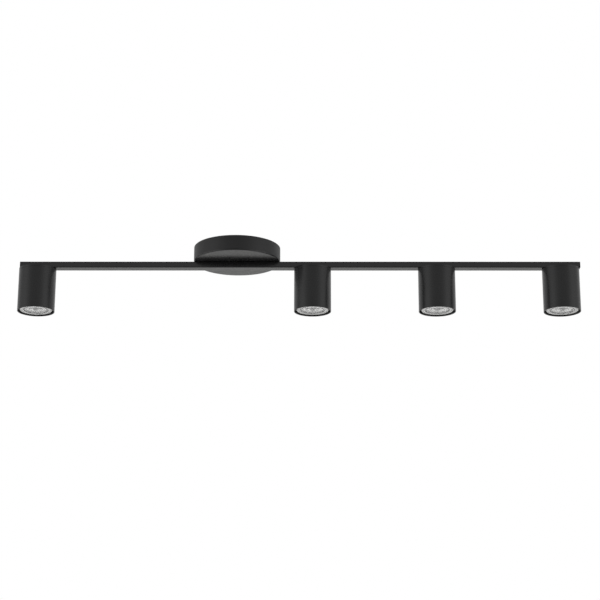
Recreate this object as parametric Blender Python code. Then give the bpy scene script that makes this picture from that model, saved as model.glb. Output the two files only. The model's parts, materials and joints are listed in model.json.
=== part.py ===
"""Four-light ceiling spot bar: a round canopy carries a slim channel off its centre, and four round
heads hang flush under the channel. Each head pans on a hollow stud and tilts on a hinge at its rear edge.

Metres, +Z up. The origin is on the ceiling, at the centre of the canopy. +X runs along the bar's long
side, and -Y is the front, the side that a viewer sees. The hinges are at +Y, out of sight."""

from math import cos, pi, radians, sin, tau

import bmesh
import bpy
from mathutils import Matrix, Vector

# ---- driving dimensions ----
GAP = 0.0003
CUT_PAST = 0.0010
HOLE_REACH = 0.0050
CANOPY_RADIUS = 0.0673
CANOPY_HEIGHT = 0.0238
CANOPY_SHEET = 0.0012
CANOPY_EDGE_RADIUS = 0.0018

BAR_LEFT = -0.3377
BAR_RIGHT = 0.5335
BAR_DEPTH = 0.0176
BAR_HEIGHT = 0.0095
BAR_SHEET = 0.0010
BAR_LIP = 0.0030
END_CAP_PLATE = 0.0012
END_CAP_WALL = 0.0012
END_CAP_TONGUE = 0.0080
COVER_SHORTER_BY = 0.0100

CANOPY_TO_HEAD = 0.3108
HEAD_PITCH = 0.1930
HEAD_RADIUS = 0.0287
HEAD_WALL = 0.0012
HEAD_LENGTH = 0.0651
DISC_THICKNESS = 0.0030
DISC_CLEARANCE = 0.0004
CAP_THICKNESS = 0.0020

HINGE_Y = 0.0260
KNUCKLE_RADIUS = 0.0020
HINGE_PIN_RADIUS = 0.00085
HINGE_BORE_RADIUS = 0.00095
MIDDLE_KNUCKLE_HALF = 0.0052
LUG_INNER = 0.0058
LUG_OUTER = 0.0102
HINGE_SIDE_GAP = 0.0003

STUD_RADIUS = 0.0040
STUD_BORE = 0.0026
NIPPLE_RADIUS = 0.0049
NIPPLE_BORE = 0.0036

LAMP_RADIUS = 0.0250
LAMP_RECESS = 0.0015
LAMP_LENGTH = 0.0465
LAMP_PIN_PITCH = 0.0100
LENS_RADIUS = 0.0222
LENS_THICKNESS = 0.0020
HOLDER_RADIUS = 0.0140
HOLDER_HEIGHT = 0.0139

HINGE_NOTCH_DEPTH = 0.0060
HINGE_ROOM = 0.0006
LUG_ROOM = 0.0005
DISC_FLAT_SETBACK = 0.0004
STUD_BELOW_LIPS = 0.0021
STUD_FLANGE_RADIUS = 0.0068
STUD_FLANGE_THICKNESS = 0.0014
FLANGE_RECESS_RADIUS = 0.0071
FLANGE_RECESS_DEPTH = 0.0020
FEED_RADIUS = 0.0014
LEAD_RADIUS = 0.0013
GROUND_WIRE_RADIUS = 0.0011
LEAD_SLOT_HALF = 0.0026
LEAD_SLOT_REAR = 0.0170
LEAD_SLOT_FRONT = -0.0006
LEAD_COIL_RADIUS = 0.0185
LEAD_COIL_SHRINK = 0.0024
LEAD_COIL_DROP = 0.0050

PLATE_RADIUS = 0.0540
PLATE_THICKNESS = 0.0015
ARC_SLOT_INNER = 0.0392
ARC_SLOT_OUTER = 0.0440
ARC_SLOT_HALF_ANGLE = 28
TAB_RADIUS = 0.0626
TAB_HALF_THICKNESS = 0.0007
TAB_HALF_WIDTH = 0.0065
TAB_DROP = 0.0150
TAB_ARM_HALF_WIDTH = 0.0075
SUPPLY_HOLE_RADIUS = 0.0095
SUPPLY_HOLE_PLACE = (-0.0160, 0.0170)
GROUND_SCREW_PLACE = (0.0240, 0.0200)
TERMINAL_Y = -0.0260
TERMINAL_Z = -0.0080
TERMINAL_SPACING = 0.0090
TERMINAL_SIZE = (0.0280, 0.0160, 0.0124)
SIDE_SCREW_ANGLES = {"left": radians(160), "right": radians(20)}
SIDE_SCREW_Z = -0.0085
SIDE_SCREW = {"head_radius": 0.0033, "head_height": 0.0014, "shank_radius": 0.0018, "length": 0.0090}
GROUND_SCREW = {"head_radius": 0.0038, "head_height": 0.0022, "shank_radius": 0.0018, "length": 0.0016}
HOLDER_SCREW_Y = -0.0090
HOLDER_SCREW_SHANK = 0.0013
HOLDER_SCREW_HEAD = 0.0028
HOLDER_SCREW_REACH = 0.0070
SINK_RADIUS = 0.0018
SINK_MOUTH = 0.0034
PLATE_SCREW_HOLE = 0.0021
CANOPY_SCREW_HOLE = 0.0022
WIRE_WAY_RADIUS = 0.0019
POLE_GAP_HALF = 0.0008
POLE_GAP_DEPTH = 0.0030
NIPPLE_TOP = -0.0155
NIPPLE_BOTTOM = -0.0285
CLAMP_HALF_LENGTH = 0.0130
CLAMP_THICKNESS = 0.0028
STUD_NUT_FLATS = 0.0100
NIPPLE_NUT_FLATS = 0.0140
NUT_HEIGHT = 0.0030
LAMP_NECK_RADIUS = 0.0145
LAMP_RIM_HEIGHT = 0.0045
LAMP_BOWL_DEPTH = 0.0230
LAMP_PIN_LENGTH = 0.0070
LAMP_PIN_NECK = 0.0015
LAMP_PIN_HEAD = 0.0024
LAMP_PIN_HEAD_HEIGHT = 0.0022
HOLDER_PIN_HOLE = 0.0028
HOLDER_PIN_HOLE_DEPTH = 0.0080
HOLDER_GROOVE_HALF = 0.0020
HOLDER_GROOVE_DEPTH = 0.0048

# ---- levels and places worked out from them ----
CANOPY_FLOOR = -CANOPY_HEIGHT + CANOPY_SHEET
BAR_TOP = -CANOPY_HEIGHT - GAP
BAR_BOTTOM = BAR_TOP - BAR_HEIGHT
BAR_FLOOR = BAR_BOTTOM + BAR_SHEET
LIP_UNDERSIDE = BAR_TOP - BAR_SHEET
DISC_TOP = BAR_BOTTOM - DISC_CLEARANCE
DISC_BOTTOM = DISC_TOP - DISC_THICKNESS
HEAD_TOP = DISC_BOTTOM - DISC_CLEARANCE
HEAD_BOTTOM = HEAD_TOP - HEAD_LENGTH
HINGE_Z = (DISC_BOTTOM + HEAD_TOP) / 2
LAMP_FACE = HEAD_BOTTOM + LAMP_RECESS
LAMP_BACK = LAMP_FACE + LAMP_LENGTH
CAP_BOTTOM = HEAD_TOP - CAP_THICKNESS
CAP_RADIUS = HEAD_RADIUS - HEAD_WALL - GAP
HOLDER_TOP = CAP_BOTTOM - GAP
HOLDER_BOTTOM = HOLDER_TOP - HOLDER_HEIGHT
HEAD_CENTRES = (
    -CANOPY_TO_HEAD,
    CANOPY_TO_HEAD - HEAD_PITCH,
    CANOPY_TO_HEAD,
    CANOPY_TO_HEAD + HEAD_PITCH,
)


# ---- materials ----
def material(name, colour, roughness, metallic=0.0):
    made = bpy.data.materials.new(name)
    made.use_nodes = True
    shader = made.node_tree.nodes["Principled BSDF"]
    shader.inputs["Base Color"].default_value = (*colour, 1.0)
    shader.inputs["Roughness"].default_value = roughness
    shader.inputs["Metallic"].default_value = metallic
    made.diffuse_color = (*colour, 1.0)
    return made


def make_materials():
    return {
        "satin_black": material("satin_black", (0.008, 0.008, 0.009), 0.28),
        "black_plastic": material("black_plastic", (0.010, 0.010, 0.011), 0.40),
        "zinc_steel": material("zinc_steel", (0.58, 0.57, 0.54), 0.35, 1.0),
        "black_screw": material("black_screw", (0.030, 0.030, 0.032), 0.35, 0.8),
        "brass": material("brass", (0.70, 0.52, 0.24), 0.30, 1.0),
        "ceramic": material("ceramic", (0.80, 0.78, 0.72), 0.40),
        "lamp_shell": material("lamp_shell", (0.72, 0.72, 0.71), 0.35),
        "lamp_glass": material("lamp_glass", (0.85, 0.86, 0.86), 0.15),
        "white_nylon": material("white_nylon", (0.78, 0.78, 0.75), 0.50),
        "green_screw": material("green_screw", (0.05, 0.30, 0.10), 0.40, 0.5),
        "cable_sheath": material("cable_sheath", (0.55, 0.54, 0.50), 0.55),
        "earth_sheath": material("earth_sheath", (0.20, 0.42, 0.06), 0.50),
    }


# ---- shape helpers ----
def add_object(name, mesh, finish=None):
    made = bpy.data.objects.new(name, mesh)
    bpy.context.scene.collection.objects.link(made)
    if finish is not None:
        mesh.materials.append(finish)
    return made


def mesh_from(bm, name):
    bmesh.ops.remove_doubles(bm, verts=bm.verts, dist=1e-7)
    bmesh.ops.recalc_face_normals(bm, faces=bm.faces)
    mesh = bpy.data.meshes.new(name)
    bm.to_mesh(mesh)
    bm.free()
    mesh.shade_smooth()
    mesh.set_sharp_from_angle(angle=radians(35))
    return mesh


def turned(name, profile, segments, finish=None):
    """A closed outline of (radius, height) points, turned about Z."""
    bm = bmesh.new()
    ring = [bm.verts.new((radius, 0.0, height)) for radius, height in profile]
    edges = [bm.edges.new((a, b)) for a, b in zip(ring, ring[1:] + ring[:1])]
    bmesh.ops.spin(
        bm,
        geom=ring + edges,
        cent=(0, 0, 0),
        axis=(0, 0, 1),
        angle=tau,
        steps=segments,
        use_merge=True,
        use_duplicate=False,
    )
    bmesh.ops.remove_doubles(bm, verts=bm.verts, dist=1e-7)
    loose = [edge for edge in bm.edges if not edge.link_faces]
    bmesh.ops.delete(bm, geom=loose, context="EDGES")
    return add_object(name, mesh_from(bm, name), finish)


def extruded(name, outline, axis, start, end, finish=None):
    """An outline extruded along X or Z. It holds (y, z) points for X and (x, y) points for Z."""
    bm = bmesh.new()
    if axis == "X":
        points = [(start, a, b) for a, b in outline]
        move = Vector((end - start, 0, 0))
    else:
        points = [(a, b, start) for a, b in outline]
        move = Vector((0, 0, end - start))
    face = bm.faces.new([bm.verts.new(point) for point in points])
    grown = bmesh.ops.extrude_face_region(bm, geom=[face])
    moved = [item for item in grown["geom"] if isinstance(item, bmesh.types.BMVert)]
    bmesh.ops.translate(bm, vec=move, verts=moved)
    return add_object(name, mesh_from(bm, name), finish)


def box(name, low, high, finish=None):
    outline = [(low[0], low[1]), (high[0], low[1]), (high[0], high[1]), (low[0], high[1])]
    return extruded(name, outline, "Z", low[2], high[2], finish)


def rod(name, radius, start, end, segments, finish=None):
    """A round bar between two points."""
    start = Vector(start)
    along = Vector(end) - start
    bm = bmesh.new()
    bmesh.ops.create_cone(
        bm,
        cap_ends=True,
        segments=segments,
        radius1=radius,
        radius2=radius,
        depth=along.length,
    )
    turn = Vector((0, 0, 1)).rotation_difference(along).to_matrix().to_4x4()
    bm.transform(Matrix.Translation(start + along / 2) @ turn)
    return add_object(name, mesh_from(bm, name), finish)


def arc(centre, radius, start, end, steps):
    """Points on an arc, in degrees, both ends included."""
    angles = [radians(start + (end - start) * i / steps) for i in range(steps + 1)]
    return [(centre[0] + radius * cos(a), centre[1] + radius * sin(a)) for a in angles]


def hexagon(across_flats):
    """Corners on +X and -X, so that two flats face +Y and -Y."""
    radius = across_flats / 2 / cos(pi / 6)
    return [(radius * cos(pi / 3 * i), radius * sin(pi / 3 * i)) for i in range(6)]


def combine(target, others, operation):
    """Applies Booleans in order, and removes the objects that they used."""
    for other in others:
        modifier = target.modifiers.new(operation.lower(), "BOOLEAN")
        modifier.operation = operation
        modifier.solver = "EXACT"
        modifier.object = other
        bpy.context.view_layer.update()
        graph = bpy.context.evaluated_depsgraph_get()
        result = bpy.data.meshes.new_from_object(target.evaluated_get(graph))
        target.modifiers.clear()
        target.data = result
        bpy.data.objects.remove(other)
    target.data.name = target.name
    target.data.shade_smooth()
    target.data.set_sharp_from_angle(angle=radians(35))
    return target


def cut(target, *cutters):
    return combine(target, cutters, "DIFFERENCE")


def join(target, *others):
    return combine(target, others, "UNION")


def smooth_route(points, steps):
    """A smooth curve through the points. Each span is a cubic whose slopes allow for uneven spacing."""
    spans = [(b - a).length for a, b in zip(points, points[1:])]
    slopes = [(points[1] - points[0]) / spans[0]]
    for before, after, first, second in zip(points, points[2:], spans, spans[1:]):
        slopes.append((after - before) / (first + second))
    slopes.append((points[-1] - points[-2]) / spans[-1])
    route = []
    for i, span in enumerate(spans):
        for step in range(steps):
            t = step / steps
            route.append(
                points[i] * (2 * t**3 - 3 * t**2 + 1)
                + points[i + 1] * (3 * t**2 - 2 * t**3)
                + slopes[i] * span * (t**3 - 2 * t**2 + t)
                + slopes[i + 1] * span * (t**3 - t**2)
            )
    return [*route, points[-1]]


def cable(name, points, radius, steps, finish):
    curve = bpy.data.curves.new(name, "CURVE")
    curve.dimensions = "3D"
    curve.bevel_depth = radius
    curve.bevel_resolution = 1
    curve.use_fill_caps = True
    route = smooth_route([Vector(point) for point in points], steps)
    spline = curve.splines.new("POLY")
    spline.points.add(len(route) - 1)
    for point, place in zip(spline.points, route):
        point.co = (*place, 1.0)
    return add_object(name, curve, finish)


# ---- ceiling end ----
def at_angle(radius, angle, height):
    return Vector((radius * cos(angle), radius * sin(angle), height))


def make_mounting_plate(finish):
    """Pressed steel with two arc slots for the ceiling box's screws, and a bent tab for each side screw."""
    top, bottom = 0.0, -PLATE_THICKNESS
    outline = [(0, top), (PLATE_RADIUS, top), (PLATE_RADIUS, bottom), (0, bottom)]
    plate = turned("mounting_plate", outline, 32, finish)
    inset, overlap, past_tab = 0.0002, 0.0060, 0.0008
    arm_low = (PLATE_RADIUS - overlap, -TAB_ARM_HALF_WIDTH, bottom + inset)
    arm_high = (TAB_RADIUS + past_tab, TAB_ARM_HALF_WIDTH, top - inset)
    tab_low = (TAB_RADIUS - TAB_HALF_THICKNESS, -TAB_HALF_WIDTH, -TAB_DROP)
    tab_high = (TAB_RADIUS + TAB_HALF_THICKNESS, TAB_HALF_WIDTH, -TAB_HALF_THICKNESS)
    for angle in SIDE_SCREW_ANGLES.values():
        arm = box("arm", arm_low, arm_high)
        tab = box("tab", tab_low, tab_high)
        for piece in (arm, tab):
            piece.data.transform(Matrix.Rotation(angle, 4, "Z"))
        join(plate, arm, tab)
        start = at_angle(TAB_RADIUS - HOLE_REACH, angle, SIDE_SCREW_Z)
        end = at_angle(TAB_RADIUS + HOLE_REACH, angle, SIDE_SCREW_Z)
        cut(plate, rod("tab_hole", PLATE_SCREW_HOLE, start, end, 12))
    slots = []
    for middle in (90, 270):
        low, high = middle - ARC_SLOT_HALF_ANGLE, middle + ARC_SLOT_HALF_ANGLE
        outer = arc((0, 0), ARC_SLOT_OUTER, low, high, 6)
        inner = arc((0, 0), ARC_SLOT_INNER, high, low, 6)
        slots.append(extruded("slot", outer + inner, "Z", -HOLE_REACH, HOLE_REACH))
    cut(plate, *slots)
    holes = ((SUPPLY_HOLE_PLACE, SUPPLY_HOLE_RADIUS), (GROUND_SCREW_PLACE, PLATE_SCREW_HOLE))
    for (x, y), radius in holes:
        cut(plate, rod("hole", radius, (x, y, -HOLE_REACH), (x, y, HOLE_REACH), 16))
    return plate


def make_canopy(finish):
    """A drawn steel cup, open to the ceiling, with a slightly rounded bottom edge."""
    edge_centre = (CANOPY_RADIUS - CANOPY_EDGE_RADIUS, -CANOPY_HEIGHT + CANOPY_EDGE_RADIUS)
    inside = CANOPY_RADIUS - CANOPY_SHEET
    profile = [
        (0, -CANOPY_HEIGHT),
        *arc(edge_centre, CANOPY_EDGE_RADIUS, -90, 0, 3),
        (CANOPY_RADIUS, 0.0),
        (inside, 0.0),
        (inside, CANOPY_FLOOR),
        (0, CANOPY_FLOOR),
    ]
    canopy = turned("canopy_cover", profile, 48, finish)
    cut(canopy, rod("nipple_hole", NIPPLE_RADIUS + GAP, (0, 0, CANOPY_FLOOR - 0.01), (0, 0, 0), 20))
    for angle in SIDE_SCREW_ANGLES.values():
        start = at_angle(CANOPY_RADIUS - HOLE_REACH, angle, SIDE_SCREW_Z)
        end = at_angle(CANOPY_RADIUS + HOLE_REACH, angle, SIDE_SCREW_Z)
        cut(canopy, rod("screw_hole", CANOPY_SCREW_HOLE, start, end, 12))
    return canopy


def slotted_screw(name, finish, head_radius, head_height, shank_radius, length):
    """A pan-head screw that points down -Z, with the underside of its head at the origin."""
    profile = [
        (0, -length),
        (shank_radius * 0.8, -length),
        (shank_radius, -length + shank_radius * 0.3),
        (shank_radius, 0),
        (head_radius, 0),
        (head_radius, head_height * 0.45),
        (head_radius * 0.8, head_height),
        (0, head_height),
    ]
    screw = turned(name, profile, 12, finish)
    slot_half = head_radius * 0.14
    slot = box(
        "driver_slot",
        (-head_radius * 1.2, -slot_half, head_height * 0.5),
        (head_radius * 1.2, slot_half, head_height * 2),
    )
    return cut(screw, slot)


def make_canopy_screw(side, finish):
    angle = SIDE_SCREW_ANGLES[side]
    screw = slotted_screw(f"canopy_screw_{side}", finish, **SIDE_SCREW)
    outward = Matrix.Rotation(angle, 4, "Z") @ Matrix.Rotation(pi / 2, 4, "Y")
    screw.matrix_world = Matrix.Translation(at_angle(CANOPY_RADIUS + GAP, angle, SIDE_SCREW_Z)) @ outward
    return screw


def make_ground_screw(finish):
    screw = slotted_screw("ground_screw", finish, **GROUND_SCREW)
    x, y = GROUND_SCREW_PLACE
    screw.matrix_world = Matrix.Translation((x, y, -PLATE_THICKNESS - GAP)) @ Matrix.Rotation(pi, 4, "X")
    return screw


def make_terminal_block(finish):
    """Three poles side by side. A wire enters each from either long side, under a screw well."""
    wide, deep, high = TERMINAL_SIZE
    centre = Vector((0, TERMINAL_Y, TERMINAL_Z))
    half = Vector((wide, deep, high)) / 2
    block = box("terminal_block", centre - half, centre + half, finish)
    cutters = []
    for pole in (-1, 0, 1):
        x = pole * TERMINAL_SPACING
        front = Vector((x, TERMINAL_Y - deep, TERMINAL_Z))
        back = Vector((x, TERMINAL_Y + deep, TERMINAL_Z))
        cutters.append(rod("wire_way", WIRE_WAY_RADIUS, front, back, 10))
        well = Vector((x, TERMINAL_Y + 0.003, TERMINAL_Z - 0.0035))
        cutters.append(rod("screw_well", WIRE_WAY_RADIUS, well, well - Vector((0, 0, 0.01)), 10))
    for side in (-0.5, 0.5):
        x = side * TERMINAL_SPACING
        for y in (centre.y - half.y, centre.y + half.y):
            low = (x - POLE_GAP_HALF, y - POLE_GAP_DEPTH, centre.z - high)
            high_corner = (x + POLE_GAP_HALF, y + POLE_GAP_DEPTH, centre.z + high)
            cutters.append(box("pole_gap", low, high_corner))
    return cut(block, *cutters)


def make_canopy_nipple(finish):
    chamfer = 0.0005
    profile = [
        (NIPPLE_BORE, NIPPLE_BOTTOM),
        (NIPPLE_RADIUS - chamfer, NIPPLE_BOTTOM),
        (NIPPLE_RADIUS, NIPPLE_BOTTOM + chamfer),
        (NIPPLE_RADIUS, NIPPLE_TOP - chamfer),
        (NIPPLE_RADIUS - chamfer, NIPPLE_TOP),
        (NIPPLE_BORE, NIPPLE_TOP),
    ]
    return turned("canopy_nipple", profile, 20, finish)


def make_nut(name, across_flats, bore, bottom, finish):
    top = bottom + NUT_HEIGHT
    nut = extruded(name, hexagon(across_flats), "Z", bottom, top, finish)
    return cut(nut, rod("bore", bore, (0, 0, bottom - CUT_PAST), (0, 0, top + CUT_PAST), 16))


# ---- bar ----
def make_track_channel(finish):
    """A folded steel channel. Its open side faces the ceiling and has two inward lips."""
    half = BAR_DEPTH / 2
    inner = half - BAR_SHEET
    lip = half - BAR_LIP
    outline = [
        (-half, BAR_BOTTOM),
        (half, BAR_BOTTOM),
        (half, BAR_TOP),
        (lip, BAR_TOP),
        (lip, LIP_UNDERSIDE),
        (inner, LIP_UNDERSIDE),
        (inner, BAR_FLOOR),
        (-inner, BAR_FLOOR),
        (-inner, LIP_UNDERSIDE),
        (-lip, LIP_UNDERSIDE),
        (-lip, BAR_TOP),
        (-half, BAR_TOP),
    ]
    ends = END_CAP_PLATE + GAP
    channel = extruded("track_channel", outline, "X", BAR_LEFT + ends, BAR_RIGHT - ends, finish)
    holes = [
        rod("stud_hole", STUD_RADIUS + GAP, (x, 0, BAR_BOTTOM - CUT_PAST), (x, 0, BAR_FLOOR + CUT_PAST), 20)
        for x in HEAD_CENTRES
    ]
    return cut(channel, *holes)


def make_track_cover(finish):
    """A strip that snaps in between the lips and hides the wires."""
    half = BAR_DEPTH / 2 - BAR_LIP - GAP
    low = (BAR_LEFT + COVER_SHORTER_BY, -half, LIP_UNDERSIDE)
    high = (BAR_RIGHT - COVER_SHORTER_BY, half, BAR_TOP)
    cover = box("track_cover", low, high, finish)
    hole = rod("nipple_hole", NIPPLE_RADIUS + GAP, (0, 0, BAR_TOP - 0.01), (0, 0, BAR_TOP + 0.01), 24)
    return cut(cover, hole)


def make_end_cap(side, finish):
    """A moulded plate that closes the end of the channel, on a hollow tongue that grips inside it."""
    half = BAR_DEPTH / 2
    inner = half - BAR_SHEET - GAP
    floor = BAR_FLOOR + GAP
    ceiling = LIP_UNDERSIDE - GAP
    end, inward = (BAR_LEFT, 1) if side == "left" else (BAR_RIGHT, -1)
    plate_back = end + inward * END_CAP_PLATE
    tongue_start = plate_back - inward * END_CAP_PLATE / 2
    tongue_end = plate_back + inward * END_CAP_TONGUE

    def slab(name, x_range, half_width, low, high):
        x0, x1 = sorted(x_range)
        return box(name, (x0, -half_width, low), (x1, half_width, high), finish)

    cap = slab(f"end_cap_{side}", (end, plate_back), half, BAR_BOTTOM, BAR_TOP)
    tongue = slab("tongue", (tongue_start, tongue_end), inner, floor, ceiling)
    hollow = slab(
        "hollow",
        (plate_back + inward * 0.0002, tongue_end + inward * CUT_PAST),
        inner - END_CAP_WALL,
        floor + END_CAP_WALL,
        ceiling - END_CAP_WALL,
    )
    return cut(join(cap, tongue), hollow)


def make_clamp_plate(finish):
    """A thick plate under the channel's lips. The nipple screws into it and draws the bar up."""
    half = BAR_DEPTH / 2 - BAR_SHEET - GAP
    top = LIP_UNDERSIDE - GAP
    low = (-CLAMP_HALF_LENGTH, -half, top - CLAMP_THICKNESS)
    plate = box("clamp_plate", low, (CLAMP_HALF_LENGTH, half, top), finish)
    return cut(plate, rod("bore", NIPPLE_RADIUS + GAP, (0, 0, top - 0.01), (0, 0, top + 0.01), 24))


def make_feed_cables(finish):
    """Twin feeds from the terminal block, down the nipple and along the channel, beside the studs."""
    side_y = BAR_DEPTH / 2 - BAR_SHEET - FEED_RADIUS - 0.0005
    run_z = LIP_UNDERSIDE - FEED_RADIUS - 0.0007
    bend_z = BAR_FLOOR + FEED_RADIUS + 0.0003
    terminal_exit = TERMINAL_Y + TERMINAL_SIZE[1] / 2 + GAP
    for side, way, last in (("left", -1, -HEAD_CENTRES[0]), ("right", 1, HEAD_CENTRES[3])):
        x = way * 0.00155
        points = [
            (way * TERMINAL_SPACING, terminal_exit, TERMINAL_Z),
            (way * 0.0080, terminal_exit + 0.006, TERMINAL_Z),
            (way * 0.0040, -0.0040, -0.0095),
            (x, 0, -0.0140),
            (x, 0, -0.0200),
            (x, 0, -0.0265),
            (way * 0.0020, 0, -0.0288),
            (way * 0.0038, 0.0002, bend_z + 0.0005),
            (way * 0.0090, 0.0010, bend_z),
            (way * 0.0180, 0.0030, bend_z + 0.0004),
            (way * 0.0320, side_y, run_z),
            (way * 0.0500, side_y, run_z),
            (way * (last - 0.0200), side_y, run_z),
            (way * (last - 0.0070), side_y, run_z),
        ]
        cable(f"feed_cable_{side}", points, FEED_RADIUS, 2, finish)


def make_ground_wire(finish):
    x, y = GROUND_SCREW_PLACE
    exit_y = TERMINAL_Y - TERMINAL_SIZE[1] / 2 - GAP
    points = [
        (x + 0.0005, y - 0.0060, -0.0045),
        (x + 0.0030, 0.0040, -0.0070),
        (x + 0.0040, -0.0150, -0.0085),
        (x - 0.0010, -0.0360, -0.0085),
        (0.0080, -0.0430, -0.0082),
        (0.0010, -0.0400, -0.0080),
        (0.0000, exit_y, TERMINAL_Z),
    ]
    cable("ground_wire", points, GROUND_WIRE_RADIUS, 2, finish)


# ---- one head, built at the origin and copied along the bar ----
def make_swivel_disc(finish):
    """The turntable under the bar. Its rear is cut flat and carries the two outer hinge lugs."""
    low_z, high_z = DISC_BOTTOM - CUT_PAST, DISC_TOP + CUT_PAST
    flat_y = HINGE_Y - DISC_FLAT_SETBACK
    outline = [(0, DISC_TOP), (HEAD_RADIUS, DISC_TOP), (HEAD_RADIUS, DISC_BOTTOM), (0, DISC_BOTTOM)]
    disc = turned("swivel_disc", outline, 40, finish)
    bore = rod("bore", STUD_RADIUS + GAP, (0, 0, low_z), (0, 0, high_z), 16)
    recess_top = (0, 0, DISC_BOTTOM + FLANGE_RECESS_DEPTH)
    recess = rod("recess", FLANGE_RECESS_RADIUS, (0, 0, low_z), recess_top, 20)
    chord = box("chord", (-0.02, flat_y, low_z), (0.02, flat_y + 0.01, high_z))
    room_y = flat_y - KNUCKLE_RADIUS
    knuckle_room = box("knuckle_room", (-LUG_INNER, room_y, low_z), (LUG_INNER, HINGE_Y + 0.01, high_z))
    cut(disc, bore, recess, chord, knuckle_room)
    for way in (-1, 1):
        join(disc, hinge_rod("lug", KNUCKLE_RADIUS, way * LUG_INNER, way * LUG_OUTER, 16))
    return cut(disc, hinge_bore())


def hinge_rod(name, radius, start_x, end_x, segments, finish=None):
    """A round bar on the hinge's axis."""
    return rod(name, radius, (start_x, HINGE_Y, HINGE_Z), (end_x, HINGE_Y, HINGE_Z), segments, finish)


def hinge_bore():
    return hinge_rod("hinge_bore", HINGE_BORE_RADIUS, -0.02, 0.02, 12)


def make_swivel_stud(finish):
    """A hollow threaded stud. Its flange holds the disc up, and its nut turns with it inside the bar."""
    flange_bottom = DISC_BOTTOM + GAP
    flange_top = flange_bottom + STUD_FLANGE_THICKNESS
    top = LIP_UNDERSIDE - STUD_BELOW_LIPS
    chamfer = 0.0004
    profile = [
        (STUD_BORE, flange_bottom),
        (STUD_FLANGE_RADIUS, flange_bottom),
        (STUD_FLANGE_RADIUS, flange_top),
        (STUD_RADIUS, flange_top),
        (STUD_RADIUS, top - chamfer),
        (STUD_RADIUS - chamfer, top),
        (STUD_BORE, top),
    ]
    return turned("swivel_stud", profile, 16, finish)


def make_hinge_pin(finish):
    half = LUG_OUTER - 0.0001
    return hinge_rod("hinge_pin", HINGE_PIN_RADIUS, -half, half, 12, finish)


def make_head_housing(finish):
    """A thin round tube with an eased lip at the mouth and a notch for the hinge at the rear of its top."""
    inside = HEAD_RADIUS - HEAD_WALL
    ease = 0.0004
    profile = [
        (inside, HEAD_TOP),
        (inside, HEAD_BOTTOM),
        (HEAD_RADIUS - ease, HEAD_BOTTOM),
        (HEAD_RADIUS, HEAD_BOTTOM + ease),
        (HEAD_RADIUS, HEAD_TOP),
    ]
    housing = turned("head_housing", profile, 40, finish)
    half = LUG_OUTER + HINGE_SIDE_GAP
    low = (-half, HINGE_Y - HINGE_NOTCH_DEPTH, HINGE_Z - KNUCKLE_RADIUS - HINGE_ROOM)
    high = (half, HEAD_RADIUS + CUT_PAST, HEAD_TOP + CUT_PAST)
    return cut(housing, box("hinge_notch", low, high))


def make_head_cap(finish):
    """The plate pressed into the top of the tube. It carries the middle knuckle, and its slot lets the lead
    swing when the head tilts."""
    outline = [(0, HEAD_TOP), (CAP_RADIUS, HEAD_TOP), (CAP_RADIUS, CAP_BOTTOM), (0, CAP_BOTTOM)]
    cap = turned("head_cap", outline, 32, finish)
    low_z, high_z = CAP_BOTTOM - CUT_PAST, HEAD_TOP + CUT_PAST
    lug_y = HINGE_Y - KNUCKLE_RADIUS - LUG_ROOM
    cutters = []
    for way in (-1, 1):
        x0, x1 = sorted((way * (LUG_INNER - HINGE_SIDE_GAP), way * (LUG_OUTER + HINGE_SIDE_GAP)))
        cutters.append(box("lug_room", (x0, lug_y, low_z), (x1, HEAD_RADIUS, high_z)))
    rear_end = arc((0, LEAD_SLOT_REAR), LEAD_SLOT_HALF, 0, 180, 5)
    front_end = arc((0, LEAD_SLOT_FRONT), LEAD_SLOT_HALF, 180, 360, 5)
    cutters.append(extruded("lead_slot", rear_end + front_end, "Z", low_z, high_z))
    sink_outline = [
        (0, low_z),
        (SINK_RADIUS, low_z),
        (SINK_RADIUS, CAP_BOTTOM + 0.0004),
        (SINK_MOUTH, HEAD_TOP + 0.0002),
        (0, HEAD_TOP + 0.0002),
    ]
    countersink = turned("countersink", sink_outline, 12)
    countersink.data.transform(Matrix.Translation((0, HOLDER_SCREW_Y, 0)))
    cut(cap, *cutters, countersink)
    join(cap, hinge_rod("knuckle", KNUCKLE_RADIUS, -MIDDLE_KNUCKLE_HALF, MIDDLE_KNUCKLE_HALF, 16))
    return cut(cap, hinge_bore())


def make_holder_screw(finish):
    """A countersunk screw that holds the lamp holder up against the cap."""
    head_top = HEAD_TOP - 0.0001
    profile = [
        (0, HOLDER_TOP - HOLDER_SCREW_REACH),
        (HOLDER_SCREW_SHANK, HOLDER_TOP - HOLDER_SCREW_REACH),
        (HOLDER_SCREW_SHANK, CAP_BOTTOM + 0.0005),
        (HOLDER_SCREW_HEAD, head_top),
        (0, head_top),
    ]
    screw = turned("holder_screw", profile, 10, finish)
    reach, slot_half, slot_depth = 0.0040, 0.0004, 0.0007
    slot_low = (-reach, -slot_half, head_top - slot_depth)
    slot = box("driver_slot", slot_low, (reach, slot_half, head_top + CUT_PAST))
    cut(screw, slot)
    screw.data.transform(Matrix.Translation((0, HOLDER_SCREW_Y, 0)))
    return screw


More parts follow.
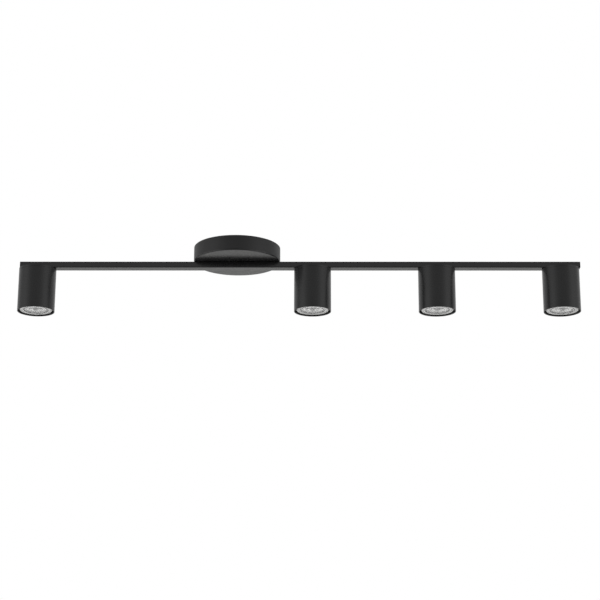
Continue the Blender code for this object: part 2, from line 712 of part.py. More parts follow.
def make_lamp_holder(finish):
    """A ceramic two-pin holder. The lead runs out along a groove in its top."""
    ease = 0.0008
    profile = [
        (0, HOLDER_BOTTOM),
        (HOLDER_RADIUS - ease, HOLDER_BOTTOM),
        (HOLDER_RADIUS, HOLDER_BOTTOM + ease),
        (HOLDER_RADIUS, HOLDER_TOP),
        (0, HOLDER_TOP),
    ]
    holder = turned("lamp_holder", profile, 24, finish)
    high_z = HOLDER_TOP + CUT_PAST
    groove_low = (-HOLDER_GROOVE_HALF, -0.0022, HOLDER_TOP - HOLDER_GROOVE_DEPTH)
    groove = box("groove", groove_low, (HOLDER_GROOVE_HALF, HOLDER_RADIUS + 2 * CUT_PAST, high_z))
    hole_bottom = (0, HOLDER_SCREW_Y, HOLDER_TOP - HOLDER_SCREW_REACH - 0.0005)
    screw_hole = rod("screw_hole", HOLDER_SCREW_SHANK + GAP, hole_bottom, (0, HOLDER_SCREW_Y, high_z), 8)
    pin_low, pin_high = HOLDER_BOTTOM - CUT_PAST, HOLDER_BOTTOM + HOLDER_PIN_HOLE_DEPTH
    pin_holes = [
        rod("pin_hole", HOLDER_PIN_HOLE, (x, 0, pin_low), (x, 0, pin_high), 12)
        for x in (-LAMP_PIN_PITCH / 2, LAMP_PIN_PITCH / 2)
    ]
    return cut(holder, groove, screw_hole, *pin_holes)


def make_lamp_body(finish):
    """A twist-lock reflector lamp: base, cone and rim outside, and a reflector bowl inside."""
    bowl_throat, bowl_mouth = 0.0060, 0.0212
    seat_radius = LENS_RADIUS + 0.0004
    seat_height = LENS_THICKNESS + 0.0004
    bowl_steps = 3
    bowl = [
        (
            bowl_throat + (bowl_mouth - bowl_throat) * (i / bowl_steps) ** 0.55,
            LAMP_FACE + seat_height + LAMP_BOWL_DEPTH * (1 - i / bowl_steps),
        )
        for i in range(bowl_steps + 1)
    ]
    profile = [
        (0, LAMP_BACK),
        (0, LAMP_FACE + seat_height + LAMP_BOWL_DEPTH),
        *bowl,
        (seat_radius, LAMP_FACE + seat_height),
        (seat_radius, LAMP_FACE),
        (LAMP_RADIUS, LAMP_FACE),
        (LAMP_RADIUS, LAMP_FACE + LAMP_RIM_HEIGHT),
        (0.0205, LAMP_FACE + 0.0180),
        (LAMP_NECK_RADIUS, LAMP_BACK - 0.0100),
        (LAMP_NECK_RADIUS, LAMP_BACK),
    ]
    lamp = turned("lamp_body", profile, 24, finish)
    for x in (-LAMP_PIN_PITCH / 2, LAMP_PIN_PITCH / 2):
        root, top = LAMP_BACK - 0.0020, LAMP_BACK + LAMP_PIN_LENGTH
        head_bottom = top - LAMP_PIN_HEAD_HEIGHT
        pin_profile = [
            (0, root),
            (LAMP_PIN_NECK, root),
            (LAMP_PIN_NECK, head_bottom),
            (LAMP_PIN_HEAD, head_bottom),
            (LAMP_PIN_HEAD, top),
            (0, top),
        ]
        pin = turned("pin", pin_profile, 8)
        pin.data.transform(Matrix.Translation((x, 0, 0)))
        join(lamp, pin)
    return lamp


def make_lamp_lens(finish):
    """The front glass, very slightly domed, set inside the lamp's rim."""
    profile = [
        (0, LAMP_FACE + LENS_THICKNESS),
        (0, LAMP_FACE + 0.0002),
        (LENS_RADIUS * 0.6, LAMP_FACE + 0.0004),
        (LENS_RADIUS, LAMP_FACE + 0.0008),
        (LENS_RADIUS, LAMP_FACE + LENS_THICKNESS),
    ]
    return turned("lamp_lens", profile, 24, finish)


def lead_points():
    """Down the stud, out along the holder's groove, then half a turn round it as slack for the tilt."""
    points = [
        (0, 0, LIP_UNDERSIDE - 0.0010),
        (0, 0, -0.0310),
        (0, 0, -0.0368),
        (0, 0.0008, -0.0400),
        (0, 0.0040, HOLDER_TOP - 0.0027),
        (0, 0.0110, HOLDER_TOP - 0.0030),
    ]
    turns = 5
    for i in range(turns + 1):
        share = i / turns
        angle = radians(100 + 150 * share)
        radius = LEAD_COIL_RADIUS - LEAD_COIL_SHRINK * share
        height = HOLDER_TOP - 0.0038 - LEAD_COIL_DROP * share
        points.append((radius * cos(angle), radius * sin(angle), height))
    return points


def make_lamp_lead(finish):
    return cable("lamp_lead", lead_points(), LEAD_RADIUS, 2, finish)


def make_heads(finishes):
    """Four copies of each head piece. Their parents are empties on the pan and tilt axes."""
    black, zinc = finishes["satin_black"], finishes["zinc_steel"]
    nut = make_nut("swivel_nut", STUD_NUT_FLATS, STUD_RADIUS + GAP, BAR_FLOOR + GAP, zinc)
    panning = [
        make_swivel_disc(black),
        make_swivel_stud(zinc),
        nut,
        make_hinge_pin(zinc),
        make_lamp_lead(finishes["cable_sheath"]),
    ]
    tilting = [
        make_head_housing(black),
        make_head_cap(black),
        make_lamp_holder(finishes["ceramic"]),
        make_holder_screw(zinc),
        make_lamp_body(finishes["lamp_shell"]),
        make_lamp_lens(finishes["lamp_glass"]),
    ]
    hinge = Vector((0, HINGE_Y, HINGE_Z))
    for piece in tilting:
        piece.data.transform(Matrix.Translation(-hinge))
    for number, x in enumerate(HEAD_CENTRES, 1):
        pan = add_object(f"pan_axis_{number}", None)
        pan.location = (x, 0, 0)
        tilt = add_object(f"tilt_axis_{number}", None)
        tilt.parent = pan
        tilt.location = hinge
        for parent, pieces in ((pan, panning), (tilt, tilting)):
            for piece in pieces:
                copy = add_object(f"{piece.name}_{number}", piece.data)
                copy.parent = parent
    for piece in panning + tilting:
        bpy.data.objects.remove(piece)


def main():
    for old in list(bpy.data.objects):
        bpy.data.objects.remove(old)
    finishes = make_materials()
    black, plastic = finishes["satin_black"], finishes["black_plastic"]
    zinc, brass = finishes["zinc_steel"], finishes["brass"]
    make_mounting_plate(zinc)
    make_canopy(black)
    for side in SIDE_SCREW_ANGLES:
        make_canopy_screw(side, finishes["black_screw"])
        make_end_cap(side, plastic)
    make_ground_screw(finishes["green_screw"])
    make_terminal_block(finishes["white_nylon"])
    make_canopy_nipple(brass)
    make_nut("nipple_nut", NIPPLE_NUT_FLATS, NIPPLE_RADIUS + GAP, CANOPY_FLOOR + GAP, brass)
    make_track_channel(black)
    make_track_cover(plastic)
    make_clamp_plate(zinc)
    make_feed_cables(finishes["cable_sheath"])
    make_ground_wire(finishes["earth_sheath"])
    make_heads(finishes)


main()
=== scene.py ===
"""Looks for the four-light ceiling spot bar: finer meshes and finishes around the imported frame."""

import json
from math import cos, pi, radians, sin, sqrt, tau

import bmesh
import bpy
from mathutils import Matrix, Vector


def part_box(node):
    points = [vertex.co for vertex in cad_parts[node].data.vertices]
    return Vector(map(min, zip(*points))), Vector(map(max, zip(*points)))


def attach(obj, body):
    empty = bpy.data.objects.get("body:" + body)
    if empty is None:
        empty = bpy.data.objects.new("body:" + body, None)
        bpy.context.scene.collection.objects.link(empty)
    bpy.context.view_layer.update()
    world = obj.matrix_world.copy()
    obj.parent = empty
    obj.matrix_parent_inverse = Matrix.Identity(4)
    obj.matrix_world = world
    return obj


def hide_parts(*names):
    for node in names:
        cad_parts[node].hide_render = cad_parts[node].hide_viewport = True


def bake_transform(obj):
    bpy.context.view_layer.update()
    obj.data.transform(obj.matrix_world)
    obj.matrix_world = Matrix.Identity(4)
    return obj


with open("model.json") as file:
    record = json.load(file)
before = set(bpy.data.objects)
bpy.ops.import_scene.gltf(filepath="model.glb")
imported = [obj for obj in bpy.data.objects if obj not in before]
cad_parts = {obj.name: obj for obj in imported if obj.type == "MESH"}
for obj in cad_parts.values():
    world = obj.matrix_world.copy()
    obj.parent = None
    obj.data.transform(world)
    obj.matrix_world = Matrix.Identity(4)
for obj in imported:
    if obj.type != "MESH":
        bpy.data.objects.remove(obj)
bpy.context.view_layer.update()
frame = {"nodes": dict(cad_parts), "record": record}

HEADS = (1, 2, 3, 4)
SHARP = radians(35)

# ---- sizes in metres, read from the frame where it has them ----
CANOPY_LOW, CANOPY_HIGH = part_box("canopy_cover")
PLATE_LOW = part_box("mounting_plate")[0]
BAR_LOW, BAR_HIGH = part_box("track_channel")
END_LOW, END_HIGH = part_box("end_cap_left")[0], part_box("end_cap_right")[1]
COVER_LOW, COVER_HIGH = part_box("track_cover")
DISC_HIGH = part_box("swivel_disc_1")[1]
STUD_LOW, STUD_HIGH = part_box("swivel_stud_1")
PIN_LOW, PIN_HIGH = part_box("hinge_pin_1")
TUBE_LOW, TUBE_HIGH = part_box("head_housing_1")
CAP_LOW, CAP_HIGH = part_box("head_cap_1")
HOLDER_LOW, HOLDER_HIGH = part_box("lamp_holder_1")
LAMP_LOW, LAMP_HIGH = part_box("lamp_body_1")
LENS_LOW, LENS_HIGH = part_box("lamp_lens_1")

# GAP is left round a fitted piece. The disc and the tube each grow by SEAM_FILL into the seam between them.
GAP, SEAM_FILL = 0.0003, 0.00011
# A cutter goes past a face by CUT_PAST or THROUGH, and to CUT_HALF on each side where it crosses a head.
CUT_PAST, THROUGH, CUT_HALF = 0.0010, 0.0100, 0.0200

# Canopy. A face whose normal is within WALL_NORMAL of level is on its wall.
CANOPY_RADIUS = CANOPY_HIGH.x
CANOPY_BOTTOM = CANOPY_LOW.z
CANOPY_SHEET = 0.0012
CANOPY_FLOOR = CANOPY_BOTTOM + CANOPY_SHEET
WALL_NORMAL = 0.3
NIPPLE_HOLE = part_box("canopy_nipple")[1].x + GAP
SCREW_ANGLES = {"left": radians(160), "right": radians(20)}
SCREW_Z = -0.0085

# Bar
BAR_HALF = BAR_HIGH.y
BAR_TOP, BAR_BOTTOM = BAR_HIGH.z, BAR_LOW.z
BAR_SHEET = COVER_HIGH.z - COVER_LOW.z
BAR_FLOOR = BAR_BOTTOM + BAR_SHEET
LIP_UNDERSIDE = BAR_TOP - BAR_SHEET
LIP_INNER = COVER_HIGH.y + GAP

# Heads
HEAD_CENTRES = {i: sum(corner.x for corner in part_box(f"head_housing_{i}")) / 2 for i in HEADS}
HEAD_RADIUS = (TUBE_HIGH.x - TUBE_LOW.x) / 2
HEAD_WALL = 0.0012
HEAD_TOP, HEAD_BOTTOM = TUBE_HIGH.z, TUBE_LOW.z
DISC_TOP, DISC_HEIGHT = DISC_HIGH.z, 0.0030
DISC_BOTTOM = DISC_TOP - DISC_HEIGHT
CAP_RADIUS, CAP_HEIGHT = (CAP_HIGH.x - CAP_LOW.x) / 2, 0.0020
CAP_BOTTOM = HEAD_TOP - CAP_HEIGHT
STUD_RADIUS, STUD_BORE, STUD_FLANGE = 0.0040, 0.0026, (STUD_HIGH.x - STUD_LOW.x) / 2
HINGE_Y = (PIN_LOW.y + PIN_HIGH.y) / 2
HINGE_Z = (PIN_LOW.z + PIN_HIGH.z) / 2
PIN_RADIUS = (PIN_HIGH.z - PIN_LOW.z) / 2
PIN_HALF = (PIN_HIGH.x - PIN_LOW.x) / 2
PIN_ROOM = 0.0001
KNUCKLE_RADIUS = CAP_HIGH.z - HINGE_Z
KNUCKLE_HALF, LUG_INNER, LUG_OUTER, KNUCKLE_CHAMFER = 0.0052, 0.0058, 0.0102, 0.0002
LEAD_RADIUS = 0.0013
LEAD_TOP = STUD_LOW.z - 0.00005

# Lamps
HOLDER_RADIUS = (HOLDER_HIGH.x - HOLDER_LOW.x) / 2
HOLDER_SCREW_Y = -0.0090
LAMP_RADIUS = (LAMP_HIGH.x - LAMP_LOW.x) / 2
LAMP_FACE, LAMP_BASE = LAMP_LOW.z, 0.0465
LAMP_BACK = LAMP_FACE + LAMP_BASE
LAMP_PIN_PLACES = (-0.0050, 0.0050)
LENS_RADIUS = (LENS_HIGH.x - LENS_LOW.x) / 2
LENS_TOP = LENS_HIGH.z
OPTIC_FACE = LENS_TOP + GAP
OPTIC_EDGE = 0.0006
OPTIC_RADIUS = LENS_RADIUS - OPTIC_EDGE
OPTIC_DEPTH = 0.0035

# The optic's front from its middle outward: radius, and depth behind its face.
OPTIC_FRONT = (
    *((0, 0.0030), (0.0031, 0.0030), (0.0034, 0.0002)),  # the dark well
    *((0.0036, 0), (0.0042, 0)),  # inner ridge
    *((0.0044, 0.0005), (0.0090, 0.0005)),  # inner groove
    *((0.0092, 0), (0.0102, 0)),  # middle ridge
    *((0.0104, 0.0006), (0.0163, 0.0006)),  # middle groove
    *((0.0165, 0), (0.0174, 0.0001)),  # outer ridge
    *((0.0177, 0.0008), (0.0188, 0.0008)),  # outer groove
    *((0.0191, 0.0001), (OPTIC_RADIUS, 0.0001)),  # border
)

# ---- the room that the paint reflects ----
# Brightness by bearing: 0 is straight to the front and 1 straight to the back.
AROUND = (
    (0.0, 0.52), (0.04, 0.54), (0.12, 0.68), (0.22, 0.93), (0.33, 0.90), (0.46, 0.68),
    (0.59, 0.59), (0.72, 0.64), (0.82, 0.68), (0.92, 0.74), (1.0, 0.78),
)
# Brightness by height: 0 is straight down, 0.5 the horizon and 1 straight up.
UPWARD = (
    (0.0, 0.10), (0.44, 0.12), (0.475, 0.85), (0.50, 1.05), (0.56, 1.0),
    (0.70, 0.95), (0.78, 0.45), (0.87, 0.15), (1.0, 0.10),
)
# The same two for the panels' lower parts, which reach below the horizon.
LOW_AROUND = ((0.0, 0.0), (0.09, 0.0), (0.18, 1.25), (0.62, 1.25), (0.82, 0.4), (1.0, 0.3))
LOW_UPWARD = ((0.0, 0.3), (0.12, 0.9), (0.25, 1.0), (0.44, 1.0), (0.475, 0.25), (0.49, 0.0), (1.0, 0.0))
WHITE = (1.0, 1.0, 1.0)

# ---- stage and camera ----
FLOOR_HALF_WIDTH, FLOOR_NEAR, FLOOR_FAR, FLOOR_LEVEL = 3.5, -1.0, 31.0, -2.7
FLOOR_LIGHT_PLACE, FLOOR_LIGHT_SIZE, FLOOR_LIGHT_POWER = (0.1, 7.1, 8.9), 6.6, 1080.0
CAMERA_PLACE = (0.11594, -2.41237, -0.79334)
CAMERA_PITCH, CAMERA_YAW, CAMERA_ROLL = radians(16.389), radians(-0.418), radians(0.139)
CAMERA_SENSOR, FOCAL_WIDTHS = 36.0, 2.70381


# ---- materials ----
def nodes_of(material):
    material.use_nodes = True
    tree = material.node_tree
    return tree, tree.nodes["Principled BSDF"]


def noise(tree, scale, detail=3.0, roughness=0.5):
    where = tree.nodes.new("ShaderNodeTexCoord")
    texture = tree.nodes.new("ShaderNodeTexNoise")
    texture.inputs["Scale"].default_value = scale
    texture.inputs["Detail"].default_value = detail
    texture.inputs["Roughness"].default_value = roughness
    tree.links.new(where.outputs["Object"], texture.inputs["Vector"])
    return texture.outputs["Fac"]


def spread(tree, value, low, high, from_low=0.3, from_high=0.7):
    """Maps a value to a range. The input range is the one that noise mostly fills, if none is given."""
    node = tree.nodes.new("ShaderNodeMapRange")
    node.inputs["From Min"].default_value = from_low
    node.inputs["From Max"].default_value = from_high
    node.inputs["To Min"].default_value = low
    node.inputs["To Max"].default_value = high
    tree.links.new(value, node.inputs["Value"])
    return node.outputs["Result"]


def mix_colour(tree, factor, first, second):
    node = tree.nodes.new("ShaderNodeMix")
    node.data_type = "RGBA"
    tree.links.new(factor, node.inputs["Factor"])
    for socket, value in (("A", first), ("B", second)):
        target = [s for s in node.inputs if s.name == socket and s.type == "RGBA"][0]
        if isinstance(value, tuple):
            target.default_value = (*value, 1.0)
        else:
            tree.links.new(value, target)
    return [s for s in node.outputs if s.type == "RGBA"][0]


def bump(tree, height, strength, distance, below=None):
    node = tree.nodes.new("ShaderNodeBump")
    node.inputs["Strength"].default_value = strength
    node.inputs["Distance"].default_value = distance
    tree.links.new(height, node.inputs["Height"])
    if below is not None:
        tree.links.new(below, node.inputs["Normal"])
    return node.outputs["Normal"]


def worked_out(tree, kind, operation, *values):
    """A Math or VectorMath node that takes the given sockets."""
    node = tree.nodes.new(f"ShaderNode{kind}")
    node.operation = operation
    for value, socket in zip(values, node.inputs):
        tree.links.new(value, socket)
    return node.outputs


def edge_mask(tree, width=0.0004):
    """White on outside edges: where a slightly rounded normal leaves the face's own normal."""
    edge_low, edge_high = 0.75, 0.98
    rounded = tree.nodes.new("ShaderNodeBevel")
    rounded.samples = 4
    rounded.inputs["Radius"].default_value = width
    geometry = tree.nodes.new("ShaderNodeNewGeometry")
    normals = rounded.outputs["Normal"], geometry.outputs["Normal"]
    likeness = worked_out(tree, "VectorMath", "DOT_PRODUCT", *normals)["Value"]
    return spread(tree, likeness, 1.0, 0.0, edge_low, edge_high)


def coated(
    name, colour, roughness, grain=900.0, depth=0.000006, wear_and_highlight=0.2, wear_and_highlight_colour=(0.03, 0.03, 0.03), ior=1.5
):
    """Paint or moulded plastic: fine grain, uneven gloss, faint blotches, and paler edges, partly rubbed
    wear and partly a painted edge highlight.
    """
    blotch_scale, darker, lighter, gloss_swing = 38.0, 0.86, 1.16, 0.02
    wear_and_highlight_scale, ripple_scale, ripple_strength, ripple_depth = 240.0, grain * 0.28, 0.5, depth * 2.2
    grain_strength = 0.6
    material = bpy.data.materials.new(name)
    tree, shader = nodes_of(material)
    shader.inputs["IOR"].default_value = ior
    broad = noise(tree, blotch_scale, 4.0)
    fine = noise(tree, grain, 2.0)
    dark = tuple(c * darker for c in colour)
    light = tuple(min(c * lighter, 1.0) for c in colour)
    body = mix_colour(tree, spread(tree, broad, 0.0, 1.0), dark, light)
    # Paler edges: partly rubbed wear, partly a painted edge highlight.
    if wear_and_highlight > 0:
        edges = edge_mask(tree)
        patches = spread(tree, noise(tree, wear_and_highlight_scale), 0.0, wear_and_highlight)
        rubbed_and_highlit = worked_out(tree, "Math", "MULTIPLY", edges, patches)["Value"]
        body = mix_colour(tree, rubbed_and_highlit, body, wear_and_highlight_colour)
    tree.links.new(body, shader.inputs["Base Color"])
    broad_gloss = spread(tree, broad, roughness - gloss_swing, roughness + gloss_swing)
    fine_gloss = spread(tree, fine, -gloss_swing, gloss_swing)
    gloss = worked_out(tree, "Math", "ADD", broad_gloss, fine_gloss)["Value"]
    tree.links.new(gloss, shader.inputs["Roughness"])
    ripple = bump(tree, noise(tree, ripple_scale, 2.0), ripple_strength, ripple_depth)
    tree.links.new(bump(tree, fine, grain_strength, depth, ripple), shader.inputs["Normal"])
    return material


def metal(name, colour, roughness, brushed=(1.0, 1.0, 1.0), stain=0.80):
    """Plated or machined metal, with stains and fine marks that can be drawn out along one axis."""
    mark_scale, mark_depth, mark_strength, stain_scale = 1400.0, 0.000012, 0.5, 120.0
    smoother, rougher = roughness - 0.07, roughness + 0.09
    material = bpy.data.materials.new(name)
    tree, shader = nodes_of(material)
    shader.inputs["Metallic"].default_value = 1.0
    where = tree.nodes.new("ShaderNodeTexCoord")
    stretch = tree.nodes.new("ShaderNodeMapping")
    stretch.inputs["Scale"].default_value = brushed
    tree.links.new(where.outputs["Object"], stretch.inputs["Vector"])
    marks = tree.nodes.new("ShaderNodeTexNoise")
    marks.inputs["Scale"].default_value = mark_scale
    marks.inputs["Detail"].default_value = 2.0
    tree.links.new(stretch.outputs["Vector"], marks.inputs["Vector"])
    broad = noise(tree, stain_scale, 4.0)
    tone = mix_colour(tree, spread(tree, broad, 0.0, 1.0), tuple(c * stain for c in colour), colour)
    tree.links.new(tone, shader.inputs["Base Color"])
    tree.links.new(spread(tree, broad, smoother, rougher), shader.inputs["Roughness"])
    tree.links.new(bump(tree, marks.outputs["Fac"], mark_strength, mark_depth), shader.inputs["Normal"])
    return material


def lens_glass(name):
    """Clear moulded glass with a faintly uneven surface."""
    glass_ior, haze_scale, smoother, rougher = 1.45, 60.0, 0.02, 0.07
    wave_scale, wave_strength, wave_depth = 420.0, 0.3, 0.00002
    material = bpy.data.materials.new(name)
    tree, shader = nodes_of(material)
    shader.inputs["Base Color"].default_value = (*WHITE, 1.0)
    shader.inputs["Transmission Weight"].default_value = 1.0
    shader.inputs["IOR"].default_value = glass_ior
    tree.links.new(spread(tree, noise(tree, haze_scale), smoother, rougher), shader.inputs["Roughness"])
    waves = bump(tree, noise(tree, wave_scale, 1.0), wave_strength, wave_depth)
    tree.links.new(waves, shader.inputs["Normal"])
    return material


def dotted(name, low, high, scale, depth):
    """Pale moulded plastic or glass covered with small round dimples."""
    scatter, dot_core, dot_edge, dot_strength = 0.35, 0.15, 0.55, 0.6
    haze_scale, smoother, rougher = 300.0, 0.22, 0.34
    material = bpy.data.materials.new(name)
    tree, shader = nodes_of(material)
    cells = tree.nodes.new("ShaderNodeTexVoronoi")
    cells.inputs["Scale"].default_value = scale
    cells.inputs["Randomness"].default_value = scatter
    where = tree.nodes.new("ShaderNodeTexCoord")
    tree.links.new(where.outputs["Object"], cells.inputs["Vector"])
    dots = spread(tree, cells.outputs["Distance"], 1.0, 0.0, dot_core, dot_edge)
    tree.links.new(mix_colour(tree, dots, low, high), shader.inputs["Base Color"])
    tree.links.new(spread(tree, noise(tree, haze_scale), smoother, rougher), shader.inputs["Roughness"])
    tree.links.new(bump(tree, dots, dot_strength, depth), shader.inputs["Normal"])
    return material


def make_finishes():
    black = (0.0125, 0.0125, 0.0130)
    oxide, bare_steel = (0.012, 0.012, 0.013), (0.2, 0.2, 0.2)
    return {
        "satin_black": coated("satin_black_paint", black, 0.28),
        # A duller, lighter copy of the black paint for the canopy's wall: its lighter colour is painted
        # light.
        "wall_black_painted_light": coated("canopy_wall_paint_painted_light", (0.0165, 0.0165, 0.0170), 0.47),
        "bar_black": coated("bar_satin_paint", black, 0.28, ior=1.6),
        # A darker, duller copy of the black paint for the tubes' inner walls: its darker colour is painted
        # shade.
        "inner_painted_shade": coated("inner_black_paint", (0.006, 0.006, 0.0062), 0.45, wear_and_highlight=0.0),
        "black_plastic": coated("black_plastic_grain", (0.0085, 0.0085, 0.009), 0.32, grain=1500.0),
        "zinc_steel": metal("zinc_plate", (0.62, 0.61, 0.57), 0.34),
        "black_screw": coated("black_oxide", oxide, 0.34, grain=2200.0, wear_and_highlight=0.5, wear_and_highlight_colour=bare_steel),
        "brass": metal("machined_brass", (0.78, 0.58, 0.27), 0.26, (1.0, 1.0, 9.0)),
        "ceramic": coated("fired_ceramic", (0.74, 0.71, 0.64), 0.42, grain=1300.0, depth=0.00003, wear_and_highlight=0.0),
        "lamp_shell": coated("lamp_shell_white", (0.84, 0.84, 0.83), 0.30, grain=700.0, wear_and_highlight=0.0),
        "reflector": metal("reflector_silver", (0.99, 0.99, 0.98), 0.14, stain=0.94),
        "optic_white": dotted("optic_cells", (0.84, 0.84, 0.84), (0.92, 0.92, 0.92), 1100.0, 0.00001),
        "optic_grey": coated("optic_satin_grey", (0.62, 0.62, 0.62), 0.34, wear_and_highlight=0.0),
        "emitter": coated("emitter_grey", (0.05, 0.05, 0.05), 0.35, wear_and_highlight=0.0),
        "lamp_glass": lens_glass("lamp_front_glass"),
        "lens_border": dotted("lens_border_dots", (0.80, 0.80, 0.80), (0.93, 0.93, 0.92), 760.0, 0.00003),
        "white_nylon": coated("white_nylon_grain", (0.72, 0.72, 0.69), 0.45, grain=1100.0, wear_and_highlight=0.0),
        "green_screw": coated("green_screw_coat", (0.045, 0.27, 0.09), 0.34, grain=2000.0),
        "cable_sheath": coated("sleeve_weave", (0.52, 0.50, 0.45), 0.55, 2600.0, depth=0.00008, wear_and_highlight=0.0),
        "earth_sheath": coated("earth_sheath_grain", (0.20, 0.42, 0.06), 0.42, grain=1800.0, wear_and_highlight=0.0),
    }


# ---- mesh helpers ----
def add_object(name, mesh, finish):
    made = bpy.data.objects.new(name, mesh)
    bpy.context.scene.collection.objects.link(made)
    if finish is not None:
        mesh.materials.clear()
        mesh.materials.append(finish)
    return made


def mesh_from(bm, name, angle=SHARP):
    bmesh.ops.remove_doubles(bm, verts=bm.verts, dist=1e-7)
    bmesh.ops.recalc_face_normals(bm, faces=bm.faces)
    mesh = bpy.data.meshes.new(name)
    bm.to_mesh(mesh)
    bm.free()
    mesh.shade_smooth()
    mesh.set_sharp_from_angle(angle=angle)
    return mesh


def turned(name, profile, segments, finish=None, angle=SHARP):
    """A closed outline of (radius, height) points, turned about Z. Points on the axis are shared."""
    bm = bmesh.new()
    rings = []
    for radius, height in profile:
        if radius < 1e-9:
            rings.append([bm.verts.new((0, 0, height))] * segments)
            continue
        turns = [tau * i / segments for i in range(segments)]
        rings.append([bm.verts.new((radius * cos(a), radius * sin(a), height)) for a in turns])
    for first, second in zip(rings, rings[1:] + rings[:1]):
        for i in range(segments):
            j = (i + 1) % segments
            corners = []
            for vert in (first[i], first[j], second[j], second[i]):
                if vert not in corners:
                    corners.append(vert)
            if len(corners) > 2:
                bm.faces.new(corners)
    return add_object(name, mesh_from(bm, name, angle), finish)


def extruded(name, outline, axis, start, end, finish=None):
    """An outline extruded along X or Z. It holds (y, z) points for X and (x, y) points for Z."""
    bm = bmesh.new()
    if axis == "X":
        points = [(start, a, b) for a, b in outline]
        move = Vector((end - start, 0, 0))
    else:
        points = [(a, b, start) for a, b in outline]
        move = Vector((0, 0, end - start))
    face = bm.faces.new([bm.verts.new(point) for point in points])
    grown = bmesh.ops.extrude_face_region(bm, geom=[face])
    moved = [item for item in grown["geom"] if isinstance(item, bmesh.types.BMVert)]
    bmesh.ops.translate(bm, vec=move, verts=moved)
    return add_object(name, mesh_from(bm, name), finish)


def box(name, low, high, finish=None):
    outline = [(low[0], low[1]), (high[0], low[1]), (high[0], high[1]), (low[0], high[1])]
    return extruded(name, outline, "Z", low[2], high[2], finish)


def rod(name, radius, start, end, segments=32, chamfer=0.0, finish=None):
    """A round bar between two points, with chamfered ends if asked."""
    start = Vector(start)
    along = Vector(end) - start
    length = along.length
    profile = [(0, 0), (radius - chamfer, 0), (radius, chamfer), (radius, length - chamfer)]
    profile += [(radius - chamfer, length), (0, length)]
    if chamfer == 0.0:
        profile = [(0, 0), (radius, 0), (radius, length), (0, length)]
    made = turned(name, profile, segments, finish)
    turn = Vector((0, 0, 1)).rotation_difference(along).to_matrix().to_4x4()
    made.data.transform(Matrix.Translation(start) @ turn)
    return made


def arc(centre, radius, start, end, steps):
    """Points on an arc, in degrees, both ends included."""
    angles = [radians(start + (end - start) * i / steps) for i in range(steps + 1)]
    return [(centre[0] + radius * cos(a), centre[1] + radius * sin(a)) for a in angles]


def combine(target, others, operation):
    for other in others:
        modifier = target.modifiers.new(operation.lower(), "BOOLEAN")
        modifier.operation = operation
        modifier.solver = "EXACT"
        modifier.object = other
        apply_modifiers(target)
        bpy.data.objects.remove(other)
    return target


def apply_modifiers(target):
    bpy.context.view_layer.update()
    graph = bpy.context.evaluated_depsgraph_get()
    result = bpy.data.meshes.new_from_object(target.evaluated_get(graph))
    target.modifiers.clear()
    target.data = result
    target.data.name = target.name
    target.data.shade_smooth()
    target.data.set_sharp_from_angle(angle=SHARP)


def cut(target, *cutters):
    return combine(target, cutters, "DIFFERENCE")


def join(target, *others):
    return combine(target, others, "UNION")


def eased(target, width, segments=2, angle=40):
    """Small rounded edges, so that every edge catches the light."""
    modifier = target.modifiers.new("ease", "BEVEL")
    modifier.width = width
    modifier.segments = segments
    modifier.limit_method = "ANGLE"
    modifier.angle_limit = radians(angle)
    modifier.use_clamp_overlap = True
    modifier.harden_normals = False
    apply_modifiers(target)
    return target


def at_angle(radius, angle, height):
    return Vector((radius * cos(angle), radius * sin(angle), height))


def axis_distance(face):
    """How far a face's middle is from the vertical axis."""
    return Vector((face.center.x, face.center.y)).length


def upright(radius, x, y, low, high, segments):
    """A round cutter along Z."""
    return rod("bore", radius, (x, y, low), (x, y, high), segments)


def outward_rod(radius, middle, reach, angle, segments):
    """A round cutter for a side screw's hole, which crosses a wall at the given distance from the axis."""
    start, end = (at_angle(middle + way * reach, angle, SCREW_Z) for way in (-1, 1))
    return rod("bore", radius, start, end, segments)


def cross_recess(screw, half, half_width, low, high):
    """Cuts two crossed slots into a screw's head."""
    for turn in (0, 90):
        slot = box("slot", (-half, -half_width, low), (half, half_width, high))
        slot.data.transform(Matrix.Rotation(radians(turn), 4, "Z"))
        cut(screw, slot)


def place(piece, body, slot, *nodes):
    """Hangs a finished piece on its body and lets it stand for CAD nodes."""
    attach(piece, body)
    if nodes:
        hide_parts(*nodes)
    return piece


# ---- ceiling end ----
def make_canopy(finishes):
    """The drawn steel cup. The paint on its wall is duller than that on its flat bottom, and a lighter copy
    of it: painted light on the wall.
    """
    edge, rim, screw_hole, hole_reach = 0.0023, 0.0004, 0.0022, 0.0060
    edge_centre = (CANOPY_RADIUS - edge, CANOPY_BOTTOM + edge)
    bottom_edge = arc(edge_centre, edge, -90, 0, 8)
    inner_edge = arc(edge_centre, edge - CANOPY_SHEET, 0, -90, 5)
    profile = [
        (0, CANOPY_BOTTOM),
        (CANOPY_RADIUS / 2, CANOPY_BOTTOM),
        *bottom_edge,
        (CANOPY_RADIUS, -rim),
        (CANOPY_RADIUS - rim, 0),
        (CANOPY_RADIUS - CANOPY_SHEET + rim, 0),
        (CANOPY_RADIUS - CANOPY_SHEET, -rim),
        *inner_edge,
        (CANOPY_RADIUS / 2, CANOPY_FLOOR),
        (0, CANOPY_FLOOR),
    ]
    canopy = turned("canopy_shell", profile, 160, finishes["satin_black"])
    cut(canopy, upright(NIPPLE_HOLE, 0, 0, CANOPY_BOTTOM - THROUGH, CANOPY_FLOOR + THROUGH, 48))
    for angle in SCREW_ANGLES.values():
        cut(canopy, outward_rod(screw_hole, CANOPY_RADIUS, hole_reach, angle, 32))
    # The wall faces get the lighter copy: painted light on the canopy's wall.
    canopy.data.materials.append(finishes["wall_black_painted_light"])
    for face in canopy.data.polygons:
        if abs(face.normal.z) < WALL_NORMAL:
            face.material_index = 1
    place(canopy, "root", "satin_black", "canopy_cover")


